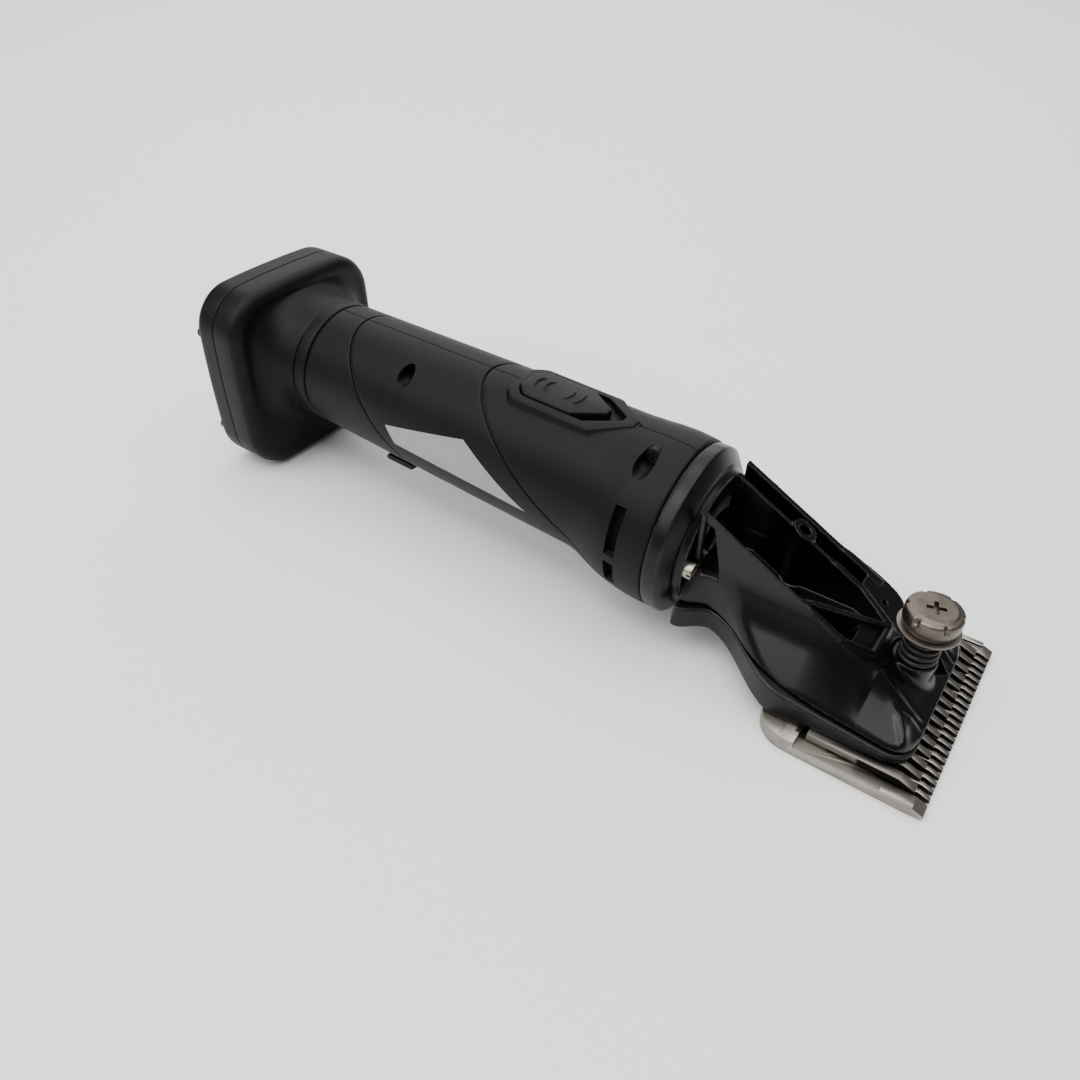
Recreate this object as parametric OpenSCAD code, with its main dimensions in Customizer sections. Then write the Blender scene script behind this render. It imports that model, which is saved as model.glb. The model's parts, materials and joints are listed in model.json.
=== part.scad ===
// Cordless livestock clipper: ribbed cutting head, toothed comb and cutter,
// round two-shell handle with a thumb switch, and a slab battery pack that
// plugs into the rear. +X points at the teeth, +Z is the knob's side. The
// clipper lies on its comb and on the battery's lower edge, at z = 0.

/* [Handle] */
// Length of the round handle, from the head joint to the battery's neck
handle_length = 150; // [125:1:185]
// Radius of the handle's swollen front end, at the head joint
handle_front_r = 29; // [27:0.5:33]
// Radius of the grip behind the switch
grip_front_r = 25.6; // [24:0.1:28]
// Radius of the handle at the battery's neck
handle_rear_r = 23.2; // [22:0.1:25]
// Wall of the handle's half shells
handle_wall = 2.6; // [2:0.1:3.2]
// Height of the handle's axis at the head joint
axis_height = 37.8; // [34:0.1:44]
// Tilt of the handle, rising to the rear, in degrees
handle_tilt = 2.1; // [0:0.1:4]

/* [Battery pack] */
// Thickness of the battery slab, front to back
battery_thickness = 23; // [22:0.5:30]
// Width of the battery slab
battery_width = 72; // [66:0.1:84]
// Height of the battery slab
battery_height = 74.6; // [71:0.1:88]
// Corner radius of the slab seen from behind
battery_corner_r = 15; // [10:1:20]
// Length of the flared neck between slab and handle
neck_length = 20; // [14:1:26]
// Radius of the stem that plugs into the handle
stem_r = 17.6; // [14.5:0.1:17.7]
// How far the stem reaches into the handle
stem_length = 34; // [30:1:40]

/* [Blades] */
// Width of the comb across its teeth
comb_width = 76; // [63:1:92]
// Depth of the comb from tooth tips to rear edge
comb_depth = 52; // [48:1:60]
// Thickness of the comb plate
comb_thickness = 3.4; // [3:0.1:4.2]
// Distance from one comb tooth to the next
comb_pitch = 3.1; // [2.6:0.1:4]
// Distance from one cutter tooth to the next
cutter_pitch = 4.45; // [3.7:0.05:5.4]
// Thickness of the cutter
cutter_thickness = 2.8; // [2.3:0.1:3.4]
// Stroke of the cutter to each side
cutter_stroke = 2.5; // [2:0.1:3]

/* [Head] */
// Length of the head from the handle joint to the comb's tooth tips
head_length = 98; // [94:1:112]
// Half the spacing of the two outer ribs, at their outer faces
rib_half_spacing = 16.2; // [14:0.1:17]
// Thickness of the ribs
rib_thickness = 2.2; // [1.6:0.1:3]
// Height of the ribs where they meet the collar
rib_top = 57.4; // [52:0.1:60]
// Half width of the head at its waist
waist_half_width = 18.5; // [17.5:0.1:22]

/* [Drive] */
// Radius of the motor's can
motor_r = 16.5; // [13:0.1:17]
// Distance from the head joint back to the motor
motor_setback = 22; // [20:0.5:26]
// Length of the motor's can
motor_length = 52; // [44:1:58]
// Module of the reduction gears
gear_module = 0.8; // [0.7:0.05:0.9]
// Teeth of the pinion on the motor shaft
pinion_teeth = 10; // [9:1:12]
// Teeth of the crank gear
crank_teeth = 24; // [20:1:25]
// Radius of the crank's shaft
crank_shaft_r = 3; // [2.5:0.1:3.5]
// Radius of the pivot post of the drive lever
post_r = 3; // [2.5:0.1:3.6]

/* [Tension knob] */
// Diameter of the tension knob
knob_diameter = 17; // [14:0.5:19]
// Height of the knob's body
knob_height = 7; // [6:0.2:10]
// Height of the knob's top above the table
knob_top = 41.4; // [39:0.2:48]
// Radius of the threaded tension bolt
bolt_r = 2.5; // [2:0.1:3]

/* [Switch] */
// Travel of the thumb switch
switch_travel = 5; // [4:0.5:6]

/* [Hidden] */
$fn = 64;

// Clearances
fit = 0.05;          // running fit of a shaft in its bore, on the radius
gap = 0.3;           // between pieces that move past each other
blade_gap = 0.1;     // oil film between the ground blade faces
far = 200;           // longer than any cut

// Overall places; the origin is the middle of the footprint, on the table
overall_length = head_length + handle_length + neck_length + battery_thickness;
tip_x = overall_length / 2;
joint_x = tip_x - head_length;
handle_end = -handle_length;

module handle_frame() {
    translate([joint_x, 0, axis_height]) rotate([0, handle_tilt, 0]) children();
}
module head_frame() {
    translate([tip_x, 0, 0]) children();
}
module slab_frame() {
    translate([-tip_x, 0, 0]) children();
}

// Turns a drawing of radius and length about the handle's axis
module revolve_x() {
    rotate([0, 90, 0]) rotate_extrude() children();
}
module rod_x(r, from, to, fn = 48) {
    translate([from, 0, 0]) rotate([0, 90, 0]) cylinder(r = r, h = to - from, $fn = fn);
}
module rod_y(r, from, to, fn = 32) {
    translate([0, from, 0]) rotate([-90, 0, 0]) cylinder(r = r, h = to - from, $fn = fn);
}
// Extrudes a side view, drawn in X and Z, from y = from to y = to
module side_prism(from, to) {
    translate([0, to, 0]) rotate([90, 0, 0]) linear_extrude(to - from) children();
}
module box(low, high) {
    translate(low) cube(high - low);
}
module rounded_plan(w, h, r, fn = 64) {
    square([w - 2 * r, h], center = true);
    square([w, h - 2 * r], center = true);
    for (sy = [-1, 1], sz = [-1, 1])
        translate([sy * (w / 2 - r), sz * (h / 2 - r)]) circle(r, $fn = fn);
}

function ease(t) = t < 0 ? 0 : t > 1 ? 1 : (1 - cos(180 * t)) / 2;

// ---------------------------------------------------------------- handle
// The grip tapers to the rear with a faint belly. Its front end swells into the
// gear case, whose own axis leans down towards the head.
taper_belly = 0.08;
belly_end_u = -28;
grip_shrink = 1.8;
function handle_radius(u) =
    let (t = (u - handle_end) / (belly_end_u - handle_end))
    u > belly_end_u + 8
        ? grip_front_r - grip_shrink * (u - belly_end_u - 8) / (-belly_end_u - 8)
        : handle_rear_r + (grip_front_r - handle_rear_r) * min(1, t + taper_belly * sin(180 * min(1, t)));

profile_steps = 14;
function handle_profile(inset) =
    [for (i = [0:profile_steps]) let (u = handle_end * i / profile_steps)
        [handle_radius(u) - inset, u]];

module grip_solid(inset) {
    revolve_x() polygon(concat([[0, 0]], handle_profile(inset), [[0, handle_end]]));
}

// Gear case: lengths are measured forward from where its axis leaves the grip's
flare_u = -36;
flare_tilt = 6.3;
flare_profile = [[-4.8, 6], [-3.4, 10], [-2.1, 14], [-0.6, 20], [0.1, 26], [0.3, 32], [0, 36], [-0.3, 42]];
front_drop = -flare_u * tan(flare_tilt);
module flare_solid(inset) {
    translate([flare_u, 0, 0]) rotate([0, flare_tilt, 0]) revolve_x()
        polygon(concat([[0, flare_profile[0][1]]],
                       [for (p = flare_profile) [handle_front_r + p[0] - inset, p[1]]],
                       [[0, flare_profile[len(flare_profile) - 1][1]]]));
}
module handle_solid(inset) {
    grip_solid(inset);
    intersection() {
        flare_solid(inset);
        box([-far, -far, -far], [0, far, far]);
    }
}
// Everything deeper in the handle than the given depth is left out
module handle_skin(depth) {
    difference() {
        handle_solid(-1);
        handle_solid(depth);
    }
}

groove_width = 0.9;
groove_depth = 0.55;
front_groove_u = -42.8;
front_groove_angle = 55.5;
rear_groove_u = -115.5;
rear_groove_angle = 42.5;
// A groove follows a plane that leans back towards the top of the handle
module groove(u, angle) {
    intersection() {
        handle_skin(groove_depth);
        translate([u, 0, 0]) rotate([0, -angle, 0])
            box([-groove_width / 2, -far / 2, -far / 2], [groove_width / 2, far / 2, far / 2]);
    }
}

// Screws across the two half shells: place along the axis, height above it
screw_boss_r = 4.2;
screw_head_r = 2.7;
screw_shank_r = 1.4;
screw_head_y = 8;
screw_reach = 6.5;
top_front_screw = [-11.2, 22.8];
top_rear_screw = [handle_end + stem_length + 10.8, 18.6];
low_screw = [-motor_setback - motor_length - 9, -18.4];
shell_screw_places = [top_front_screw, top_rear_screw, low_screw];

// Thumb switch: a flat-topped surround with a pocket for the slider, both drawn
// to a point at the front
surround_half_width = 11.3;
surround_rear_u = -67;
surround_front_u = -22;
surround_nose = 11.5;
surround_rise = 0.5;
pocket_half_width = 8.4;
pocket_rear_u = -64.3;
pocket_front_u = -26.6;
pocket_nose = 10.5;
pocket_depth = 2.6;
nose_tip_share = 0.16;
corner_cut_length = 3.4;
slider_end_gap = 0.4;
switch_length = pocket_front_u - pocket_rear_u - switch_travel - gap - slider_end_gap;
surround_top = grip_front_r + surround_rise;
module surround_plan(half_width, rear_u, front_u, nose) {
    tip = half_width * nose_tip_share;
    cut = corner_cut_length;
    polygon([[rear_u, -half_width + cut], [rear_u + cut, -half_width], [front_u - nose, -half_width],
             [front_u, -tip], [front_u, tip], [front_u - nose, half_width],
             [rear_u + cut, half_width], [rear_u, half_width - cut]]);
}

vent_u = -11.5;
vent_width = 4;
vent_zs = [[-17, -6.5], [-3.5, 13.2]];
module vent_cuts() {
    for (side = [-1, 1], z = vent_zs)
        box([vent_u - vent_width / 2, side > 0 ? handle_front_r / 2 : -far, z[0]],
            [vent_u + vent_width / 2, side > 0 ? far : -handle_front_r / 2, z[1]]);
}

// Latch opening under the rear of the handle
latch_half_width = 6;
hook_u = handle_end + 11.5;
latch_pivot_u = hook_u + 8.5;
latch_front_u = latch_pivot_u + 21;
latch_pivot_z = -(stem_r + 2.2);
latch_pin_r = 1;
latch_pin_half = latch_half_width + 2.6;

cradle_width = 3;
cradle_us = [-motor_setback - 8, -motor_setback - motor_length + 6];
module cradle_rings() {
    for (u = cradle_us)
        intersection() {
            handle_solid(handle_wall / 2);
            difference() {
                rod_x(far / 4, u - cradle_width / 2, u + cradle_width / 2);
                rod_x(motor_r + fit, u - cradle_width, u + cradle_width);
            }
        }
}

module handle_body() {
    difference() {
        union() {
            difference() {
                handle_solid(0);
                handle_bore();
            }
            intersection() {
                translate([0, 0, motor_r + 1.5]) linear_extrude(surround_top - motor_r - 1.5)
                    surround_plan(surround_half_width, surround_rear_u, surround_front_u, surround_nose);
                grip_solid(-surround_rise - 0.3);
            }
            cradle_rings();
            intersection() {
                handle_solid(handle_wall / 2);
                for (p = shell_screw_places)
                    translate([p[0], 0, p[1]]) rod_y(screw_boss_r, -far / 4, far / 4);
            }
        }
        translate([0, 0, surround_top - pocket_depth]) linear_extrude(far)
            surround_plan(pocket_half_width, pocket_rear_u, pocket_front_u, pocket_nose);
        box([switch_body_u - 5, -stalk_half - 1.5, motor_r + 1],
            [switch_body_u + 5 + switch_travel, stalk_half + 1.5, far / 4]);
        switch_room();
        vent_cuts();
        groove(front_groove_u, front_groove_angle);
        groove(rear_groove_u, rear_groove_angle);
        for (p = shell_screw_places) translate([p[0], 0, p[1]]) {
            rod_y(screw_shank_r, -far / 4, screw_reach);
            rod_y(screw_head_r + gap, -far / 4, -screw_head_y + 2);
        }
        box([hook_u - 2.5, -latch_half_width - gap, -far / 4],
            [latch_front_u + 1, latch_half_width + gap, -stem_r + 1]);
        translate([latch_pivot_u, 0, latch_pivot_z]) rod_y(latch_pin_r, -latch_pin_half, latch_pin_half);
    }
}
// The bore inside the shells runs out past both ends
module handle_bore() {
    revolve_x() polygon(concat([[0, 1]], [[handle_radius(0) - handle_wall, 1]], handle_profile(handle_wall),
                               [[handle_radius(handle_end) - handle_wall, handle_end - 1]],
                               [[0, handle_end - 1]]));
    flare_solid(handle_wall);
}
// Room for the switch under the pocket, between the motor and the top wall
switch_body_size = [19.6, 10, 4.2];
switch_body_u = (pocket_rear_u + pocket_front_u) / 2 - 5;
switch_body_z = motor_r + 0.6;
stalk_half = 1.8;
module switch_room() {
    box([pocket_rear_u + 3, -switch_body_size[1] / 2 - 2, 0],
        [pocket_front_u - 3, switch_body_size[1] / 2 + 2, switch_body_z + switch_body_size[2]]);
}

module handle_shell_near() {
    color("#26292c") handle_frame() intersection() {
        handle_body();
        box([-far, -far, -far], [far, 0, far]);
    }
}
module handle_shell_far() {
    color("#26292c") handle_frame() intersection() {
        handle_body();
        box([-far, 0, -far], [far, far, far]);
    }
}

module shell_screws() {
    color("#3a3a3c") handle_frame()
        for (p = shell_screw_places) translate([p[0], 0, p[1]]) {
            rod_y(screw_shank_r, -screw_head_y + 1, screw_reach);
            difference() {
                rod_y(screw_head_r, -screw_head_y, -screw_head_y + 2);
                box([-1.6, -screw_head_y - 1, -0.35], [1.6, -screw_head_y + 0.8, 0.35]);
                box([-0.35, -screw_head_y - 1, -1.6], [0.35, -screw_head_y + 0.8, 1.6]);
            }
        }
}

switch_rise = 0.9;
ridge_width = 1.1;
ridge_depth = 0.5;
ridge_half = 4;
ridge_places = [4.5, 8, 17.5, 21];
module switch_button() {
    floor_z = surround_top - pocket_depth + gap;
    rear_u = pocket_rear_u + gap;
    color("#1c1e20") handle_frame() {
        difference() {
            translate([0, 0, floor_z]) linear_extrude(pocket_depth - gap + switch_rise)
                surround_plan(pocket_half_width - gap, rear_u, rear_u + switch_length, pocket_nose);
            for (place = ridge_places)
                box([rear_u + place, -ridge_half, surround_top + switch_rise - ridge_depth],
                    [rear_u + place + ridge_width, ridge_half, far]);
        }
        box([switch_body_u - 2.5, -stalk_half, switch_body_z + switch_body_size[2] + gap],
            [switch_body_u + 2.5, stalk_half, floor_z + 0.1]);
    }
}
module switch_body() {
    color("#4a4a4c") handle_frame()
        box([switch_body_u - switch_body_size[0] / 2, -switch_body_size[1] / 2, switch_body_z],
            [switch_body_u + switch_body_size[0] / 2, switch_body_size[1] / 2,
             switch_body_z + switch_body_size[2]]);
}

// The board fills what is left between the motor and the battery socket
board_rear_u = handle_end + stem_length + 4.5;
board_front_u = -motor_setback - motor_length - 2;
board_half_width = 17;
board_z = -6;
module control_board() {
    color("#24502e") handle_frame() {
        box([board_rear_u, -board_half_width, board_z], [board_front_u, board_half_width, board_z + 1.6]);
        for (i = [0:2])
            translate([board_rear_u + (board_front_u - board_rear_u) * (i + 1) / 4, 6 * (i - 1), board_z])
                translate([0, 0, 1.6]) cylinder(r = 2.4, h = 7, $fn = 24);
        for (side = [-1, 1])
            box([(board_rear_u + board_front_u) / 2 - 3, side * 14 - 1.5, board_z + 1.6],
                [(board_rear_u + board_front_u) / 2 + 3, side * 14 + 1.5, board_z + 5]);
    }
}

screen_thickness = 0.8;
screen_u = [vent_u - 4, vent_u + 4];
screen_half = 17;
module vent_screens() {
    color("#101112") handle_frame() intersection() {
        difference() {
            flare_solid(handle_wall + fit);
            flare_solid(handle_wall + fit + screen_thickness);
        }
        union() for (side = [-1, 1])
            box([screen_u[0], side > 0 ? screen_half : -far, vent_zs[0][0] - 1],
                [screen_u[1], side > 0 ? far : -screen_half, vent_zs[1][1] + 1]);
    }
}

// ----------------------------------------------------------------- drive
motor_wall = 1.6;
motor_back_u = -motor_setback - motor_length;
shaft_r = 2.5;
shaft_front_u = -4;
gear_front_u = -5;
gear_width = 7;
gear_spread = gear_module * (pinion_teeth + crank_teeth) / 2;

module motor_can() {
    color("#8f9296") handle_frame() difference() {
        union() {
            rod_x(motor_r, motor_back_u, -motor_setback);
            rod_x(6, -motor_setback, -motor_setback + 2.5);
        }
        rod_x(motor_r - motor_wall, motor_back_u + motor_wall, -motor_setback - motor_wall);
        rod_x(shaft_r + fit, motor_back_u - 1, 0);
    }
}
module motor_rotor() {
    color("#8a5a34") handle_frame() {
        rod_x(shaft_r, motor_back_u - 1.2, shaft_front_u);
        rod_x(motor_r - motor_wall - 1.2, motor_back_u + 12, -motor_setback - 8);
        rod_x(6.5, motor_back_u + 4, motor_back_u + 12);
    }
}

// Teeth have straight flanks between the root and tip circles
function gear_points(teeth, radius_root, radius_tip) =
    [for (i = [0:teeth - 1], k = [0:3])
        let (a = 360 / teeth * (i + [-0.27, -0.12, 0.12, 0.27][k]),
             r = [radius_root, radius_tip, radius_tip, radius_root][k])
        [r * cos(a), r * sin(a)]];
module gear_plan(teeth, backlash) {
    pitch_r = gear_module * teeth / 2;
    polygon(gear_points(teeth, pitch_r - 1.25 * gear_module, pitch_r + 0.85 * gear_module - backlash));
}
// A gear turned about the handle's axis by a phase, in degrees
module gear_x(teeth, backlash, phase) {
    translate([gear_front_u - gear_width, 0, 0]) rotate([0, 90, 0]) rotate([0, 0, phase])
        linear_extrude(gear_width) gear_plan(teeth, backlash);
}

module pinion() {
    color("#c9a24a") handle_frame() difference() {
        gear_x(pinion_teeth, 0.1, 0);
        rod_x(shaft_r, -far, far);
    }
}
module gear_plate() {
    color("#9a9da0") handle_frame() difference() {
        translate([0, 0, -front_drop + 0.3]) rod_x(plate_r, plate_rear_u, 0);
        rod_x(shaft_r + 1.5, -far, far);
        translate([0, 0, -gear_spread]) rod_x(bearing_r, -far, far);
        for (p = collar_screw_places) translate([0, p[0], p[1]]) rod_x(collar_shank_r, -far, far);
    }
}
plate_r = handle_front_r - handle_wall - gap - 0.4;
plate_rear_u = -4;
bearing_r = 8;
module crank_bearing() {
    color("#c0c4c8") handle_frame() translate([0, 0, -gear_spread]) difference() {
        rod_x(bearing_r, plate_rear_u, 0);
        rod_x(crank_shaft_r + fit, -far, far);
        for (side = [plate_rear_u - 1, -0.6])
            difference() {
                rod_x(bearing_r - 1.4, side, side + 1.6);
                rod_x(crank_shaft_r + 1.4, side - 1, side + 3);
            }
    }
}
module crank_gear() {
    color("#c9a24a") handle_frame() translate([0, 0, -gear_spread]) difference() {
        gear_x(crank_teeth, 0.1, 180 + 180 / crank_teeth);
        rod_x(crank_shaft_r, -far, far);
        for (a = [0:60:300])
            rotate([a, 0, 0]) translate([0, 0, 6]) rod_x(1.3, -far, far, 24);
    }
}

lever_pivot_x = -58;
drive_x = -19;
rear_arm = 26.4;
front_arm = drive_x - lever_pivot_x;
throw = cutter_stroke * rear_arm / front_arm;
crank_pin_r = 1.6;
crank_disc_r = 6;
crank_disc_u = 1.4;
crank_disc_width = 4;
collar_length = 11;
collar_wall = 3;
module crank() {
    color("#b4b8bc") handle_frame() translate([0, 0, -gear_spread]) {
        rod_x(crank_shaft_r, gear_front_u - gear_width - 1, crank_disc_u);
        rod_x(crank_disc_r, crank_disc_u, crank_disc_u + crank_disc_width);
        translate([0, 0, throw])
            rod_x(crank_pin_r, crank_disc_u + crank_disc_width, collar_length + 4.6, 32);
    }
}

// ------------------------------------------------------------------ head
collar_bevel = 5;
collar_bevel_length = 6.4;
collar_shank_r = 1.5;
collar_screw_y = 19.5;
collar_screw_z = -2.9;
collar_screw_places = [for (side = [-1, 1]) [side * collar_screw_y, collar_screw_z]];
module head_collar() {
    inner_u = collar_length - collar_wall;
    color("#3c3b3a") handle_frame() difference() {
        translate([0, 0, -front_drop]) revolve_x()
            polygon([[0, 0], [handle_front_r - 0.6, 0], [handle_front_r, 0.6],
                     [handle_front_r, collar_length - collar_bevel_length],
                     [handle_front_r - 1.1, collar_length - collar_bevel_length + 2.4],
                     [handle_front_r - 2.9, collar_length - 1.9],
                     [handle_front_r - collar_bevel, collar_length], [0, collar_length]]);
        rod_x(motor_r - 1, -1, inner_u);
        translate([0, 0, -gear_spread]) {
            rod_x(crank_disc_r + 1.4, -1, inner_u);
            rod_x(throw + crank_pin_r + 0.8, -1, collar_length + 1);
        }
        for (p = collar_screw_places) translate([0, p[0], p[1]]) rod_x(collar_shank_r, -1, far);
    }
}
collar_head_r = 2.9;
collar_head_h = 2.6;
module collar_screws() {
    color("#c8c2ba") handle_frame()
        for (p = collar_screw_places) translate([0, p[0], p[1]]) {
            rod_x(collar_shank_r, plate_rear_u, collar_length);
            difference() {
                rod_x(collar_head_r, collar_length, collar_length + collar_head_h, 32);
                box([collar_length + collar_head_h / 2, -far, -0.45], [far, far, 0.45]);
            }
        }
}

// Half width of the head at a distance behind the tooth tips: rounded front
// corners, full width over the comb, an S-curve into the waist, and out again
edge_setback = 8.5;
corner_r = 7;
front_taper = 1.8;
function corner_cut(s) =
    s < edge_setback + corner_r
        ? corner_r - sqrt(max(0, corner_r * corner_r - pow(edge_setback + corner_r - s, 2))) : 0;
function front_half(s, full, full_s) = full - front_taper * max(0, 1 - s / full_s) - corner_cut(s);
// shape: [full half width, where it ends, waist half width, where that is reached, rear half width]
function half_width(s, shape) =
    s < shape[1] ? front_half(s, shape[0], shape[1])
    : s < shape[3] ? shape[0] - (shape[0] - shape[2]) * ease((s - shape[1]) / (shape[3] - shape[1]))
    : shape[2] + (shape[4] - shape[2]) * ease((s - shape[3]) / (head_length - shape[3] - collar_length));
outline_setbacks = concat([for (i = [0:4]) edge_setback + corner_r * (1 - cos(22.5 * i))], [28, 44],
                          [for (i = [0:15]) 47 + i * (head_length - 47) / 15]);
module outline(shape) {
    steps = outline_setbacks;
    n = len(steps) - 1;
    polygon(concat([for (s = steps) [-s, half_width(s, shape)]],
                   [for (i = [0:n]) [-steps[n - i], -half_width(steps[n - i], shape)]]));
}

// The base and the housing part along a plane that climbs to the rear
split_front = 9.5;
split_slope = 0.163;
function split_z(s) = split_front + (s - edge_setback) * split_slope;
base_full = comb_width / 2 - 6;
housing_full = base_full - 2.4;
rear_half_width = 22;
base_shape = [base_full, 49, waist_half_width - 0.8, 69, rear_half_width + 1.5];
housing_shape = [housing_full, 46, waist_half_width, 76, rear_half_width];

base_low = comb_thickness + blade_gap + cutter_thickness + gap + 0.2;
seat_setback = 38;
seat_z = comb_thickness + 1.8;
sole_rear = 50;
base_wall = 2;
base_rear_z = 9 + (head_length - sole_rear - 12) * 0.27;
lever_floor_z = base_low + 2.2;
// Underside of the base: over the cutter, down to the comb's seat, then up to the collar
base_underside = [[-edge_setback, base_low], [-seat_setback, base_low], [-seat_setback, seat_z],
                  [-sole_rear, seat_z], [-sole_rear - 12, 9], [-head_length, base_rear_z]];
module collar_side_cut() {
    handle_frame_in_head() box([-far, -far, -far], [collar_length, far, far]);
}
// The handle's frame, seen from the head's frame
module handle_frame_in_head() {
    translate([-head_length, 0, axis_height]) rotate([0, handle_tilt, 0]) children();
}

lever_room_half = 12.5;
post_low = comb_thickness + 4.3;
post_top = 18.4;
thrust_z = comb_thickness + 8.1;    // top of the boss that the lever turns on
module head_base() {
    color("#2c2d2f") head_frame() difference() {
        intersection() {
            linear_extrude(far / 2) outline(base_shape);
            side_prism(-far, far)
                polygon(concat(base_underside, [[-head_length, split_z(head_length)],
                                                [-edge_setback, split_z(edge_setback)]]));
        }
        side_prism(-lever_room_half, lever_room_half)
            polygon([[drive_x + 7, lever_floor_z], [drive_x - 12, lever_floor_z],
                     [-sole_rear + 6, lever_floor_z - 1], [-sole_rear - 12, 9 + base_wall],
                     [-head_length, base_rear_z + base_wall - 0.6], [-head_length, far],
                     [drive_x + 7, far]]);
        translate([drive_x, 0, 0]) linear_extrude(far) rounded_plan(7, 12, 3);
        collar_side_cut();
        for (side = [-1, 1]) translate([-comb_screw_setback, side * comb_screw_half, 0])
            cylinder(r = comb_screw_r, h = comb_screw_top);
        translate([lever_pivot_x, 0, 0]) cylinder(r = post_r, h = far);
    }
    color("#2c2d2f") head_frame() difference() {
        translate([lever_pivot_x, 0, post_low]) cylinder(r = post_r + 2.5, h = thrust_z - post_low);
        translate([lever_pivot_x, 0, 0]) cylinder(r = post_r, h = far);
    }
}
module pivot_post() {
    color("#b4b8bc") head_frame() translate([lever_pivot_x, 0, 0]) {
        translate([0, 0, post_low]) cylinder(r = post_r, h = post_top - post_low);
    }
}

// Section of the housing behind the nose, drawn in Y and Z: steep under the ribs,
// then a flatter, full flank
shoulder_z = 33.5;
shoulder_half = 17;
flank = [[shoulder_half, shoulder_z], [18.6, 29.6], [20.4, 26.6], [22.6, 24.2], [25.2, 21.4],
         [28, 17.6], [30.4, 13], [32, 8]];
module mirrored_section(points) {
    n = len(points) - 1;
    polygon(concat([for (p = points) p], [for (i = [0:n]) [-points[n - i][0], points[n - i][1]]]));
}
nose_setback = 28;
nose_z = 25.2;
nose_half = 11;
nose_front_z = 10.8;
nose_sections = [
    [nose_setback + 15.7, [[shoulder_half, shoulder_z], [20.4, 27.6], [25.2, 21.8], [28.2, 17.4], [32, 8]]],
    [nose_setback, [[nose_half, nose_z], [16, 23.6], [21, 20.6], [26, 15.4], [30.6, 8]]],
    [edge_setback, [[21, nose_front_z], [24.6, 10.4], [28, 9], [29, 8]]]];
module section_slice(section) {
    translate([-section[0], 0, 0]) rotate([90, 0, 90]) linear_extrude(0.02) mirrored_section(section[1]);
}
// The ribs and the top of the casting lie in one plane that climbs to the collar
rib_rear_setback = 90;
function rib_line(s) = nose_z + (rib_top - nose_z) * (s - nose_setback) / (rib_rear_setback - nose_setback);
rib_front_setback = nose_setback + 3.6;
rib_foot_z = 24;
module rib(from, to) {
    side_prism(from, to)
        polygon([[-head_length, rib_foot_z], [-head_length, rib_line(head_length)],
                 [-nose_setback - 1, rib_line(nose_setback + 1)], [-nose_setback - 1, 22], [-60, 22]]);
}
channel_half = rib_half_spacing - rib_thickness;
crank_roof_z = 29.8;
inner_rib = 6.4;
inner_rib_thickness = 1.8;
inner_wall_start = 51.5;
inner_wall_thickness = 1.7;
apex_y = 3.2;
pocket_floor_z = 23.7;
boss_setback = 62;
boss_y = inner_rib + 1.6;
boss_r = 3.6;
knob_seat_z = 21.6;
knob_seat_r = 6.6;
oil_hole_setback = 33.5;
oil_hole_y = 20;
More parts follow.
